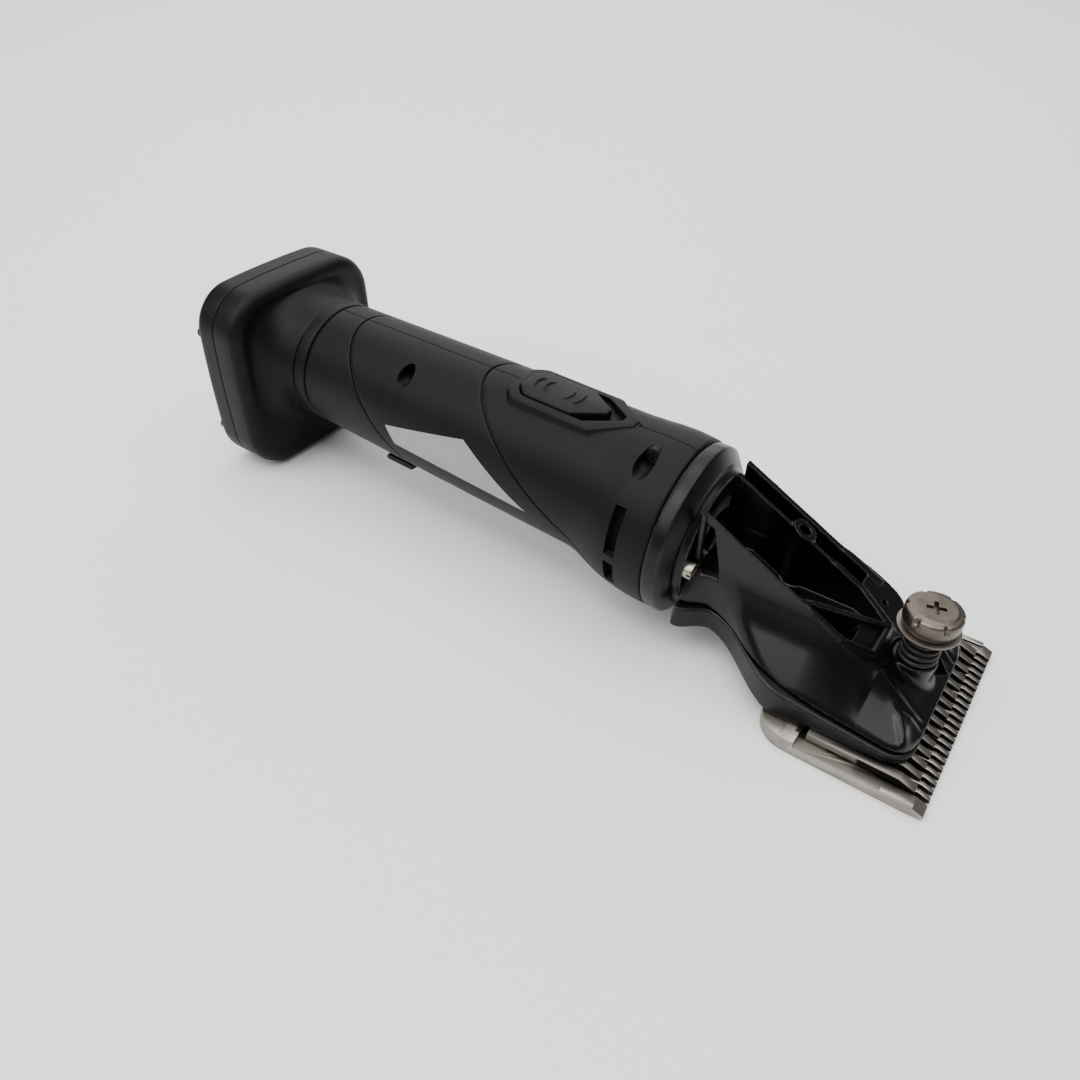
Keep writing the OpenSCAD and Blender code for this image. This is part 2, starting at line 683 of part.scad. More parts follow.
// Plan of the channel between the far inner rib and the near rib; a wall runs
// across it from the near rib to the apex behind the knob
apex = [-nose_setback - 2.6, apex_y];
module channel_plan() {
    polygon([[-head_length - 1, -channel_half], [-inner_wall_start, -channel_half], apex,
             [-nose_setback - 12, inner_rib], [-head_length - 1, inner_rib]]);
}
module wedge_plan() {
    t = inner_wall_thickness;
    polygon([[-inner_wall_start + 3.4, -channel_half], [-rib_front_setback - t, -channel_half],
             [-nose_setback - t, -nose_half + 1.2], [-nose_setback - t, apex_y - t * 1.4]]);
}
far_slot_front = 39;
module far_slot_plan() {
    low_y = inner_rib + inner_rib_thickness;
    front = -far_slot_front;
    rear = -head_length - 1;
    polygon([[rear, low_y], [rear, channel_half], [front, channel_half], [front, low_y]]);
}
module head_housing() {
    color("#2a2726") head_frame() difference() {
        union() {
            difference() {
                intersection() {
                    linear_extrude(far / 2) outline(housing_shape);
                    side_prism(-far, far)
                        polygon([[-head_length, split_z(head_length)],
                                 [-edge_setback, split_z(edge_setback)],
                                 [-edge_setback, nose_front_z], [-nose_setback, nose_z],
                                 [-nose_setback - 15.7, shoulder_z], [-head_length, shoulder_z]]);
                    union() {
                        translate([-nose_sections[0][0], 0, 0]) rotate([90, 0, -90])
                            linear_extrude(far) mirrored_section(flank);
                        hull() {
                            section_slice(nose_sections[0]);
                            section_slice(nose_sections[1]);
                        }
                        hull() {
                            section_slice(nose_sections[1]);
                            section_slice(nose_sections[2]);
                        }
                    }
                }
                translate([0, 0, pocket_floor_z]) linear_extrude(far) channel_plan();
            }
            // Roof over the crank
            side_prism(-channel_half - 1, channel_half + 1)
                polygon([[-head_length, 24], [-head_length, crank_roof_z], [-76, crank_roof_z],
                         [-64, pocket_floor_z], [-64, 22], [-76, 24]]);
            difference() {
                union() {
                    rib(channel_half, rib_half_spacing);
                    rib(-rib_half_spacing, -channel_half);
                }
                // The ribs' front ends are trimmed to the narrowing top
                for (side = [-1, 1]) linear_extrude(far)
                    polygon([[-rib_front_setback, side * (rib_half_spacing + 0.01)],
                             [0, side * rib_half_spacing], [0, 0], [-nose_setback, side * nose_half]]);
            }
            intersection() {
                linear_extrude(far) polygon([[-head_length, inner_rib], [-nose_setback - 12, inner_rib],
                                             apex, [apex[0] + 1, apex[1] + 1.5],
                                             [-nose_setback - 12, inner_rib + inner_rib_thickness],
                                             [-head_length, inner_rib + inner_rib_thickness]]);
                rib(-far, far);
            }
            intersection() {
                linear_extrude(far) polygon([[-inner_wall_start, -channel_half - 0.5],
                                             [-inner_wall_start + 3.4, -channel_half - 0.5],
                                             [apex[0] + 1.6, apex[1] - 1.2], apex]);
                rib(-far, far);
            }
            translate([-boss_setback, boss_y, 22]) cylinder(r = boss_r, h = rib_line(boss_setback) - 22.4);
            translate([drive_x, 0, 15.5]) cylinder(r = knob_seat_r, h = knob_seat_z - 15.5);
        }
        translate([0, 0, pocket_floor_z]) linear_extrude(far) wedge_plan();
        difference() {
            translate([0, 0, pocket_floor_z + 4]) linear_extrude(far) far_slot_plan();
            translate([-boss_setback, boss_y, 0]) cylinder(r = boss_r, h = far);
        }
        // Room for the lever and the crank, opening downwards
        side_prism(-lever_room_half, lever_room_half)
            polygon([[drive_x + 7, 0], [drive_x + 7, 13.2], [drive_x - 9, 15.2], [lever_pivot_x, 21],
                     [-66, 21], [-76, 28], [-head_length, 28], [-head_length, 0]]);
        translate([drive_x, 0, 0]) cylinder(r = bolt_r, h = far);
        translate([drive_x, 0, knob_seat_z]) cylinder(r = knob_seat_r + 0.4, h = far);
        // Three-cornered window in front of the knob
        translate([drive_x + 5.8, 0, 0]) linear_extrude(far) polygon([[0, 9], [0.3, 3.2], [3.9, 6.4]]);
        translate([-boss_setback, boss_y, 30]) cylinder(r = 1.8, h = far, $fn = 32);
        translate([-oil_hole_setback, oil_hole_y, 0]) cylinder(r = 1.2, h = far, $fn = 24);
        for (p = collar_screw_places) handle_frame_in_head() translate([0, p[0], p[1]])
            rod_x(collar_head_r + gap, 0, collar_length + 5);
        collar_side_cut();
    }
}

// Drive lever: fork for the crank pin at the rear, boss on the post, drive pin in the cutter
lever_half_width = 4.5;
fork_gap_half = throw + throw + crank_pin_r + 0.7;
fork_prong = 2.6;
fork_x = lever_pivot_x - rear_arm;
fork_low = 17.7;
fork_top = 26.9;
module drive_lever() {
    color("#8d9095") head_frame() difference() {
        union() {
            side_prism(-lever_half_width, lever_half_width)
                polygon([[drive_x + 4, lever_floor_z + 0.6], [drive_x - 8, lever_floor_z + 0.6],
                         [lever_pivot_x + 8, thrust_z + 0.3],
                         [lever_pivot_x, thrust_z + 0.9], [fork_x + 2.4, fork_low - 0.2],
                         [fork_x + 2.4, fork_low + 2.2], [lever_pivot_x, 16], [drive_x - 8, 13.4],
                         [drive_x + 4, 12.6]]);
            translate([lever_pivot_x, 0, thrust_z + 0.3]) cylinder(r = post_r + 3.2, h = 5.8);
            translate([drive_x, 0, comb_thickness + blade_gap + 0.4]) cylinder(r = drive_pin_r, h = 7);
            for (side = [-1, 1])
                box([fork_x - 1.6, side > 0 ? fork_gap_half : -fork_gap_half - fork_prong, fork_low],
                    [fork_x + 2.4, side > 0 ? fork_gap_half + fork_prong : -fork_gap_half, fork_top]);
            box([fork_x - 1.6, -fork_gap_half - 1, fork_low],
                [fork_x + 2.4, fork_gap_half + 1, fork_low + 2.2]);
        }
        translate([lever_pivot_x, 0, 0]) cylinder(r = post_r + fit, h = far);
    }
}

// ---------------------------------------------------------------- blades
comb_corner_r = 11;
comb_screw_setback = 45;
comb_screw_half = 19;
comb_screw_r = 2;
comb_screw_top = 11;
tooth_root = 15;
comb_slot = comb_pitch * 0.5;
end_tooth = 2.6;
pad_width = 2;
comb_gaps = floor((comb_width - 2 * end_tooth) / comb_pitch);
// The comb's outline: square at the teeth, large corners at the rear
module comb_plan() {
    r = comb_corner_r;
    translate([-comb_depth + r, -comb_width / 2]) square([comb_depth - r, comb_width]);
    translate([-comb_depth, -comb_width / 2 + r]) square([r + 1, comb_width - 2 * r]);
    for (side = [-1, 1]) translate([-comb_depth + r, side * (comb_width / 2 - r)]) circle(r);
}
module comb_blade() {
    color("#8c8279") head_frame() difference() {
        union() {
            linear_extrude(comb_thickness) comb_plan();
            // Rear seat under the head, and the pads at the two front corners
            intersection() {
                linear_extrude(seat_z) comb_plan();
                box([-far, -far, 0], [-seat_setback - 0.5, far, seat_z]);
            }
            for (side = [-1, 1])
                translate([-13, side > 0 ? comb_width / 2 - pad_width : -comb_width / 2, 0])
                    cube([10, pad_width, comb_thickness + 0.9]);
        }
        for (i = [0:comb_gaps - 1])
            translate([-tooth_root, (i - (comb_gaps - 1) / 2) * comb_pitch, -1]) {
                translate([0, -comb_slot / 2, 0]) cube([far, comb_slot, far]);
                cylinder(r = comb_slot / 2, h = far, $fn = 24);
            }
        // Tooth tips thin out upwards and their underside lifts
        side_prism(-far, far)
            polygon([[1, comb_thickness - 1.6], [1, far], [-3.4, far], [-3.4, comb_thickness]]);
        side_prism(-far, far) polygon([[1, -1], [1, 1.1], [-6, 0], [-6, -1]]);
        for (side = [-1, 1]) translate([-comb_screw_setback, side * comb_screw_half, -1]) {
            cylinder(r = comb_screw_r, h = far);
            cylinder(r = comb_head_r + 0.2, h = 1 + comb_head_h);
        }
    }
}
comb_head_r = 3.8;
comb_head_h = 2.4;
module comb_screws() {
    color("#a8a29a") head_frame()
        for (side = [-1, 1]) translate([-comb_screw_setback, side * comb_screw_half, 0]) {
            cylinder(r = comb_screw_r, h = comb_screw_top - 0.3);
            difference() {
                translate([0, 0, 0.3]) cylinder(r = comb_head_r, h = comb_head_h - 0.3);
                translate([-far / 2, -0.5, -1]) cube([far, 1, 2]);
            }
        }
}

cutter_front = 4.4;
cutter_rear = 36.5;
cutter_root = 13.5;
cutter_width = comb_width - 2 * (cutter_stroke + 2.4);
cutter_slot = cutter_pitch * 0.48;
cutter_gaps = floor((cutter_width - 2 * 1.8) / cutter_pitch);
drive_pin_r = 2.5;
drive_slot_r = drive_pin_r + 0.1;
drive_slot_reach = 0.6;
module cutter_blade() {
    color("#9a9086") head_frame() translate([0, 0, comb_thickness + blade_gap]) difference() {
        translate([-cutter_rear, -cutter_width / 2, 0])
            cube([cutter_rear - cutter_front, cutter_width, cutter_thickness]);
        for (i = [0:cutter_gaps - 1])
            translate([-cutter_root, (i - (cutter_gaps - 1) / 2) * cutter_pitch, -1]) {
                translate([0, -cutter_slot / 2, 0]) cube([far, cutter_slot, far]);
                cylinder(r = cutter_slot / 2, h = far, $fn = 24);
            }
        side_prism(-far, far)
            polygon([[1, 0.8], [1, far], [-cutter_front - 5, far], [-cutter_front - 5, cutter_thickness],
                     [-cutter_front, 0.8]]);
        // Hollow-ground relief across the underside, behind the teeth
        side_prism(-far, far) polygon([[-22, -1], [-22, 0.5], [-30, 0.5], [-30, -1]]);
        for (x = [-drive_slot_reach, drive_slot_reach])
            translate([drive_x + x, 0, -1]) cylinder(r = drive_slot_r, h = far);
        translate([drive_x - drive_slot_reach, -drive_slot_r, -1])
            cube([2 * drive_slot_reach, 2 * drive_slot_r, far]);
    }
}

// ---------------------------------------------------------- tension knob
washer_h = 0.9;
knob_base = knob_top - knob_height;
bolt_low = 13.6;
bolt_top = knob_top - 3.2;
bolt_end_gap = 1.3;
module tension_bolt() {
    color("#a49a8e") head_frame() translate([drive_x, 0, 0]) {
        translate([0, 0, bolt_low]) cylinder(r = bolt_r, h = bolt_top - bolt_low);
    }
}
coil_r = 0.85;
coils = 6;
coil_ring_r = bolt_r + 1.6 + coil_r;
// Stacked rings stand for the turns; a thin sleeve line ties them into one piece
module tension_spring() {
    low = knob_seat_z;
    high = knob_base - washer_h;
    pitch = (high - low - 2 * coil_r) / (coils - 1);
    color("#3c3b3a") head_frame() translate([drive_x, 0, low]) {
        for (i = [0:coils - 1]) translate([0, 0, coil_r + i * pitch]) rotate_extrude($fn = 48)
            translate([coil_ring_r, 0]) circle(coil_r, $fn = 16);
        for (a = [0, 180]) rotate([0, 0, a]) translate([coil_ring_r, 0, 0.1])
            cylinder(r = coil_r * 0.7, h = high - low - 0.2, $fn = 16);
    }
}
module tension_washer() {
    color("#8d857b") head_frame() translate([drive_x, 0, knob_base - washer_h]) difference() {
        cylinder(r = knob_diameter / 2 + 0.6, h = washer_h);
        translate([0, 0, -1]) cylinder(r = bolt_r + gap, h = far);
    }
}
notches = 12;
module tension_knob() {
    r = knob_diameter / 2;
    color("#a79b8d") head_frame() translate([drive_x, 0, knob_base]) difference() {
        rotate_extrude() polygon([[0, 0], [r - 0.5, 0], [r, 0.5], [r, knob_height - 0.9],
                                  [r - 0.9, knob_height], [0, knob_height]]);
        translate([0, 0, -1]) cylinder(r = bolt_r + fit, h = bolt_top - knob_base + 1 + bolt_end_gap);
        for (i = [0:notches - 1]) rotate([0, 0, 360 / notches * i]) translate([r + 0.5, 0, -1])
            cylinder(r = 1, h = knob_height - 1, $fn = 16);
        translate([0, 0, knob_height - 1]) cylinder(r = 1.9, h = far, $fn = 6);
    }
}

// --------------------------------------------------------------- battery
socket_wall = 1.7;
socket_floor_u = handle_end + stem_length + gap;
module battery_socket() {
    color("#1b1c1e") handle_frame() difference() {
        union() {
            rod_x(stem_r + gap + socket_wall, handle_end + 0.5, socket_floor_u + 2.5);
            // Flange that fills the handle's bore
            intersection() {
                grip_solid(handle_wall + fit);
                rod_x(far / 4, socket_floor_u - 4, socket_floor_u - 1);
            }
        }
        rod_x(stem_r + gap, handle_end - 1, socket_floor_u);
        for (y = contact_ys) box([-far, y - 0.5, -4.5], [far, y + 0.5, 4.5]);
        box([hook_u - 3, -latch_half_width - gap, -far], [latch_front_u + 1, latch_half_width + gap, -8]);
    }
}
contact_ys = [-9, -3, 3, 9];
contact_length = 9;
module socket_contacts() {
    color("#c8a860") handle_frame()
        for (y = contact_ys)
            box([socket_floor_u - contact_length, y - 0.5, -4.5], [socket_floor_u + 3.6, y + 0.5, 4.5]);
}

pad_half_width = 10.5;
pad_clear = 1.2;
pad_thickness = 2.2;
module latch_lever() {
    surface = -handle_radius(latch_pivot_u);
    pad_top = surface - pad_clear;
    pad_low = pad_top - pad_thickness;
    color("#141517") handle_frame() difference() {
        union() {
            side_prism(-latch_half_width, latch_half_width)
                polygon([[hook_u - 1.6, latch_pivot_z - 1.6], [hook_u - 1.6, -stem_r + 1],
                         [hook_u + 1, -stem_r + 1], [hook_u + 1.6, -stem_r - 0.7],
                         [latch_pivot_u + 1.5, -stem_r - 0.7], [latch_front_u, latch_pivot_z - 1],
                         [latch_front_u, pad_low], [latch_pivot_u + 7, pad_low],
                         [latch_pivot_u + 4, latch_pivot_z - 2.2]]);
            side_prism(-pad_half_width, pad_half_width)
                polygon([[latch_pivot_u + 8, pad_top], [latch_pivot_u + 7, pad_low + 0.8],
                         [latch_pivot_u + 8.2, pad_low], [latch_front_u - 1.2, pad_low],
                         [latch_front_u, pad_low + 0.8], [latch_front_u, pad_top]]);
        }
        translate([latch_pivot_u, 0, latch_pivot_z]) rod_y(latch_pin_r + fit, -far, far);
    }
}
module latch_pin() {
    color("#b4b8bc") handle_frame() translate([latch_pivot_u, 0, latch_pivot_z])
        rod_y(latch_pin_r, -latch_pin_half, latch_pin_half);
}

battery_wall = 2.1;
battery_split = battery_thickness * 0.48;
rim_round = 4;
cell_r = 9.05;
cell_length = 65;
cells = 3;
// Slab drawn in Y and Z and extruded along X, standing on z = 0
module slab(from, to, inset, fn = 64) {
    translate([from, 0, battery_height / 2]) rotate([90, 0, 90])
        linear_extrude(to - from)
            rounded_plan(battery_width - 2 * inset, battery_height - 2 * inset,
                         battery_corner_r - inset, fn);
}
// The room inside is squarer than the outside, and leaves posts for the screws
room_corner_r = battery_corner_r - 4;
module slab_room() {
    difference() {
        translate([battery_wall, 0, battery_height / 2]) rotate([90, 0, 90])
            linear_extrude(battery_thickness - 2 * battery_wall)
                rounded_plan(battery_width - 2 * battery_wall, battery_height - 2 * battery_wall,
                             room_corner_r);
        for (p = battery_screw_places) translate([0, p[0], p[1]])
            rod_x(pack_post_r, 0, battery_thickness, 32);
    }
}
// Soft rim: the slab's edge rounds over to its outer face
rim_steps = 4;
module soft_slab(from, to, face) {
    dir = face == "front" ? -1 : 1;
    edge = face == "front" ? to : from;
    flat = face == "front" ? from : to;
    hull() {
        slab(min(flat, edge + dir * rim_round), max(flat, edge + dir * rim_round), 0, 40);
        for (i = [1:rim_steps]) {
            a = 90 * i / rim_steps;
            x = edge + dir * rim_round * (1 - sin(a));
            slab(min(x, x + dir * 0.02), max(x, x + dir * 0.02), rim_round * (1 - cos(a)) * 0.9, 40);
        }
    }
}
neck_flare = 5.4;
neck_gap = 0.3;
// Neck: a concave flare from the slab's face to the handle's radius
module neck_solid() {
    arc_steps = 8;
    rear_u = handle_end - neck_length - 2;
    top_r = handle_rear_r + 0.2;
    revolve_x() polygon(concat(
        [[0, handle_end - neck_gap], [top_r, handle_end - neck_gap]],
        [for (i = [0:arc_steps]) let (a = 90 * i / arc_steps)
            [top_r + neck_flare * (1 - cos(a)), handle_end - 2 - (neck_length - 1) * sin(a)]],
        [[top_r + neck_flare, rear_u], [0, rear_u]]));
}
channel_depth = 1.6;
module battery_front_shell() {
    color("#232528") difference() {
        union() {
            slab_frame() soft_slab(battery_split, battery_thickness, "front");
            difference() {
                handle_frame() neck_solid();
                slab_frame() box([-far, -far, -far], [battery_thickness, far, far]);
            }
            handle_frame() rod_x(stem_r, handle_end - 1, handle_end + stem_length);
        }
        slab_frame() slab_room();
        handle_frame() {
            rod_x(stem_r - 3, handle_end - neck_length - 6, handle_end + stem_length - 12);
            for (y = contact_ys)
                box([handle_end + stem_length - contact_length - 1, y - 0.5 - gap, -4.5 - gap],
                    [far, y + 0.5 + gap, 4.5 + gap]);
            // Guide channel for the catch, open at the stem's front end
            box([hook_u - 2.4, -latch_half_width - 2 * gap, -far],
                [far, latch_half_width + 2 * gap, -stem_r + channel_depth]);
        }
        slab_frame() battery_screw_holes(battery_thickness - 4);
    }
}
module battery_rear_shell() {
    color("#232528") slab_frame() difference() {
        soft_slab(0, battery_split, "rear");
        slab_room();
        battery_screw_holes(battery_split + 1);
        for (p = battery_screw_places) translate([0, p[0], p[1]]) rod_x(2.5, -1, 1.8, 32);
    }
}
pack_screw_r = 1.1;
pack_post_r = 2.2;
battery_screw_places = [for (sy = [-1, 1], sz = [-1, 1])
    [sy * (battery_width / 2 - battery_wall - 1.4), battery_height * (0.5 + sz * 0.27)]];
module battery_screw_holes(depth) {
    for (p = battery_screw_places) translate([0, p[0], p[1]]) rod_x(pack_screw_r, -1, depth, 32);
}
module battery_screws() {
    color("#3a3a3c") slab_frame() for (p = battery_screw_places) translate([0, p[0], p[1]]) {
        rod_x(pack_screw_r, 0.6, battery_thickness - 4.5, 32);
        difference() {
            rod_x(2.2, 0.5, 1.8, 32);
            box([-1, -1.5, -0.35], [1.1, 1.5, 0.35]);
        }
    }
}
module battery_cells() {
    color("#3f6f8f") slab_frame() for (i = [0:cells - 1])
        translate([battery_thickness / 2, (i - (cells - 1) / 2) * (2 * cell_r + 0.1),
                   battery_height / 2 - cell_length / 2]) cylinder(r = cell_r, h = cell_length, $fn = 48);
}
// The small protection board slides between the walls of the neck's bore
board_reach = stem_r - 3.1;
module battery_board() {
    color("#24502e") handle_frame()
        box([handle_end - neck_length + 3.5, -board_reach, -1], [handle_end + 2, board_reach, 0.6]);
}

handle_shell_near();
handle_shell_far();
shell_screws();
switch_button();
switch_body();
control_board();
vent_screens();
motor_can();
motor_rotor();
pinion();
gear_plate();
crank_bearing();
crank_gear();
crank();
head_collar();
collar_screws();
head_housing();
head_base();
pivot_post();
drive_lever();
cutter_blade();
comb_blade();
comb_screws();
tension_bolt();
tension_spring();
tension_washer();
tension_knob();
battery_socket();
socket_contacts();
latch_lever();
latch_pin();
battery_front_shell();
battery_rear_shell();
battery_cells();
battery_board();
battery_screws();
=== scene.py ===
import json
import math
import bmesh
import bpy
import numpy as np
from mathutils import Matrix, Vector


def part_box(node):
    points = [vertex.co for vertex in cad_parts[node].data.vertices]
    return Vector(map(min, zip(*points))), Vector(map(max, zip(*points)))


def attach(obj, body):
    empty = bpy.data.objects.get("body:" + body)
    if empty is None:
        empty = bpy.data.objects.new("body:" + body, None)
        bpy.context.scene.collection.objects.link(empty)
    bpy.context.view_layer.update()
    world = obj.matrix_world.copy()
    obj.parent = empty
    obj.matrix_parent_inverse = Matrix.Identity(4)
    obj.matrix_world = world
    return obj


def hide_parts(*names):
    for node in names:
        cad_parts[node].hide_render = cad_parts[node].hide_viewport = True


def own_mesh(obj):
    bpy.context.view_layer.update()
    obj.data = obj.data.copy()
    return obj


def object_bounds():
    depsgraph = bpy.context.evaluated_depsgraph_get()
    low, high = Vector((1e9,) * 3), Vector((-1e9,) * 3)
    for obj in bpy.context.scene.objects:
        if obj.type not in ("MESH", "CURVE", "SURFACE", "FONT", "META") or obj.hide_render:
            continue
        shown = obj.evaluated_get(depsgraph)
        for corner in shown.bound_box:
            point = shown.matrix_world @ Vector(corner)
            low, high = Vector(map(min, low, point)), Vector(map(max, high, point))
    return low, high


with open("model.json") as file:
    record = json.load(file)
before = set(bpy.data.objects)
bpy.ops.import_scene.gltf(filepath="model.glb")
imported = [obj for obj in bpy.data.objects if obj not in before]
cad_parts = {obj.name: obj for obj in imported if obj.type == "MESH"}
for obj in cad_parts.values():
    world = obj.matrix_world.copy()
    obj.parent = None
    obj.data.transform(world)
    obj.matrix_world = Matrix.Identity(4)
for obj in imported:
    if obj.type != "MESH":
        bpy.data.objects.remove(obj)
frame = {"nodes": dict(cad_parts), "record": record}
cad_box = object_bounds()

# ---------------------------------------------------------------- materials
# Every finish is procedural. Finish builds a material node by node, and Wire lets its
# sockets stand in plain sums, each of which adds a Math node.


class Wire:
    """A shader socket that takes part in sums; each sum adds its Math node."""

    def __init__(self, finish, socket):
        self.finish = finish
        self.socket = socket

    def sum(self, kind, first, second):
        return self.finish.node("ShaderNodeMath", {"operation": kind}, {0: first, 1: second})

    def __add__(self, other):
        return self.sum("ADD", self, other)

    def __radd__(self, other):
        return self.sum("ADD", other, self)

    def __sub__(self, other):
        return self.sum("SUBTRACT", self, other)

    def __rsub__(self, other):
        return self.sum("SUBTRACT", other, self)

    def __mul__(self, other):
        return self.sum("MULTIPLY", self, other)

    def over(self, low, high):
        """0 at low and below, 1 at high and above, with a soft step between."""
        return self.finish.node("ShaderNodeMapRange", {"interpolation_type": "SMOOTHSTEP"},
                                {"Value": self, "From Min": low, "From Max": high})


class Finish:
    """A material for one finish of the clipper, built up node by node."""

    def __init__(self, name, **constants):
        self.material = bpy.data.materials.new(name)
        self.material.use_nodes = True
        self.tree = self.material.node_tree
        self.shader = self.tree.nodes["Principled BSDF"]
        for socket, value in constants.items():
            self.shader.inputs[socket.replace("_", " ")].default_value = value

    def node(self, kind, settings=None, inputs=None, output=0):
        made = self.tree.nodes.new(kind)
        for name, value in (settings or {}).items():
            setattr(made, name, value)
        for name, value in (inputs or {}).items():
            self.feed(made.inputs[name], value)
        return Wire(self, made.outputs[output])

    def feed(self, socket, value):
        if isinstance(value, Wire):
            self.tree.links.new(value.socket, socket)
        else:
            socket.default_value = value

    def set(self, socket, value):
        self.feed(self.shader.inputs[socket], value)

    def place(self):
        """Places on the part itself, in metres."""
        return self.node("ShaderNodeTexCoord", output="Object")

    def noise(self, scale, detail=2.0, rough=0.5, stretch=(1, 1, 1)):
        """Cloudy variation from 0 to 1; scale is in cells per metre."""
        spot = self.node("ShaderNodeMapping", None, {"Vector": self.place(), "Scale": stretch})
        return self.node("ShaderNodeTexNoise", None,
                         {"Vector": spot, "Scale": scale, "Detail": detail, "Roughness": rough})

    def edges(self, low, high):
        """1 on sharp outward edges, from the mesh's pointiness; it places wear and painted light."""
        return self.node("ShaderNodeNewGeometry", output="Pointiness").over(low, high)

    def colours(self, amount, first, second):
        """Mix of two colours."""
        return self.node("ShaderNodeMix", {"data_type": "RGBA"},
                         {"Factor": amount, 6: first, 7: second}, output=2)

    def relief(self, height, distance, strength):
        """Bumps of a height from 0 to 1; distance is their depth in metres."""
        return self.node("ShaderNodeBump", None,
                         {"Height": height, "Distance": distance, "Strength": strength})


def rgb(red, green, blue):
    return (red, green, blue, 1.0)


def turned_metal(name, light, dark, rough, grain=9000.0, metal=1.0):
    """Machined metal: fine tool marks, faint stains and slightly bright edges."""
    f = Finish(name, Metallic=metal)
    stain = f.noise(90, 4, 0.6)
    marks = f.noise(grain, 2, 0.6, (0.15, 1, 1))
    tone = f.colours(stain.over(0.35, 0.7), light, dark)
    bright = rgb(*[min(1, c * 1.35) for c in light[:3]])
    f.set("Base Color", f.colours(f.edges(0.52, 0.6) * 0.35, tone, bright))
    f.set("Roughness", rough + stain * 0.12 + marks * 0.08)
    f.set("Normal", f.relief(marks, 0.00003, 0.35))
    return f.material


def plain_plastic(name, light, dark, rough):
    """Plain matt cover on small parts: spark grain and a little dust."""
    f = Finish(name, Specular_IOR_Level=0.2)
    dust = f.noise(160, 4, 0.65)
    grain = f.noise(5200, 2, 0.5)
    f.set("Base Color", f.colours(dust.over(0.4, 0.8), dark, light))
    f.set("Roughness", rough + dust * 0.15)
    f.set("Normal", f.relief(grain, 0.00005, 0.4))
    return f.material


def solder_board(name):
    """Green lacquered board with a faint glass weave and copper tracks under it."""
    f = Finish(name, Coat_Weight=0.4, Coat_Roughness=0.15)
    weave = f.node("ShaderNodeTexChecker", None,
                   {"Vector": f.place(), "Scale": 1700.0}, output="Fac")
    track = f.noise(420, 0, 0.5, (0.25, 1, 1)).over(0.52, 0.54)
    base = f.colours(track, rgb(0.012, 0.10, 0.035), rgb(0.03, 0.17, 0.06))
    f.set("Base Color", base)
    f.set("Roughness", 0.32 + weave * 0.06)
    f.set("Normal", f.relief(track + weave * 0.1, 0.00003, 0.4))
    return f.material


def wound_copper(name):
    """Lacquered copper turns packed side by side."""
    f = Finish(name, Metallic=0.9)
    turns = f.node("ShaderNodeTexWave", {"bands_direction": "X"},
                   {"Vector": f.place(), "Scale": 420.0, "Distortion": 0.6}, output="Fac")
    f.set("Base Color", f.colours(turns, rgb(0.22, 0.07, 0.03), rgb(0.62, 0.27, 0.13)))
    f.set("Roughness", 0.28 + turns * 0.1)
    f.set("Normal", f.relief(turns, 0.0001, 0.6))
    return f.material


def dress(node, material):
    """Gives a kept CAD node its finish."""
    kept = frame["nodes"][node]
    if not kept.material_slots:
        kept.data.materials.append(material)
    for place in kept.material_slots:
        place.material = material


# ---------------------------------------------------------------- running gear
# Motor, gears, crank, drive lever, switch body, boards and contacts: bought and
# turned parts in bare metal, fibreglass board and moulded plastic. They lie inside
# the case, so their own CAD shapes are kept and get a finish each.
bare_steel = turned_metal("bare_steel", rgb(0.52, 0.52, 0.53), rgb(0.34, 0.34, 0.35), 0.26)
dark_steel = turned_metal("oil_black_steel", rgb(0.055, 0.053, 0.05), rgb(0.03, 0.029, 0.028), 0.34)
cut_brass = turned_metal("cut_brass", rgb(0.72, 0.50, 0.20), rgb(0.46, 0.30, 0.11), 0.26)
cast_alloy = turned_metal("cast_alloy", rgb(0.55, 0.56, 0.57), rgb(0.38, 0.385, 0.39), 0.4, 2600.0)
gold_plate = turned_metal("gold_plate", rgb(0.83, 0.60, 0.24), rgb(0.62, 0.42, 0.15), 0.2)
inner_plastic = plain_plastic("inner_plastic", rgb(0.045, 0.045, 0.047), rgb(0.02, 0.02, 0.021), 0.5)
for node in ("motor_can", "pivot_post", "crank", "crank_bearing", "latch_pin"):
    dress(node, bare_steel)
for node in ("pinion", "crank_gear"):
    dress(node, cut_brass)
for node in ("control_board", "battery_board"):
    dress(node, solder_board(node + "_lacquer"))
for node in ("switch_body", "battery_socket"):
    dress(node, inner_plastic)
dress("drive_lever", turned_metal("forged_lever", rgb(0.36, 0.355, 0.35), rgb(0.2, 0.198, 0.195),
                                  0.36, 3000.0))
dress("motor_rotor", wound_copper("copper_winding"))
dress("gear_plate", cast_alloy)
dress("socket_contacts", gold_plate)
dress("shell_screws", plain_plastic("black_oxide_screws", rgb(0.006, 0.006, 0.0065),
                                    rgb(0.01, 0.01, 0.0105), 0.5))
dress("battery_screws", dark_steel)

# ---------------------------------------------------------------- handle shells
# Two half shells in fine-grained black plastic, moulded with ribs inside and
# screwed together from the near side. The grip tapers to the rear; its front end
# swells into the gear case, whose axis leans down. Two slanted grooves run round it.
motor_axle = next(j for j in frame["record"]["behaviour"]["joints"] if j["name"] == "rotor_spin")
handle_along = np.array(motor_axle["axis"], float)
handle_across = np.array([0.0, 1.0, 0.0])
handle_up = np.cross(handle_along, handle_across)
axle_setback = 0.040
handle_front = np.array(motor_axle["pos_m"], float) + axle_setback * handle_along


def on_handle(points):
    """Millimetres along, across and above the handle's axis, to places in metres."""
    p = np.asarray(points, float) * 0.001
    return handle_front + p[..., :1] * handle_along + p[..., 1:2] * handle_across + p[..., 2:3] * handle_up


def soft_max(a, b, k):
    """The larger of two depths, with a fillet about k wide where they cross."""
    h = np.clip(0.5 + 0.5 * (a - b) / k, 0, 1)
    return b + (a - b) * h + k * h * (1 - h)


def soft_min(a, b, k):
    return -soft_max(-a, -b, k)


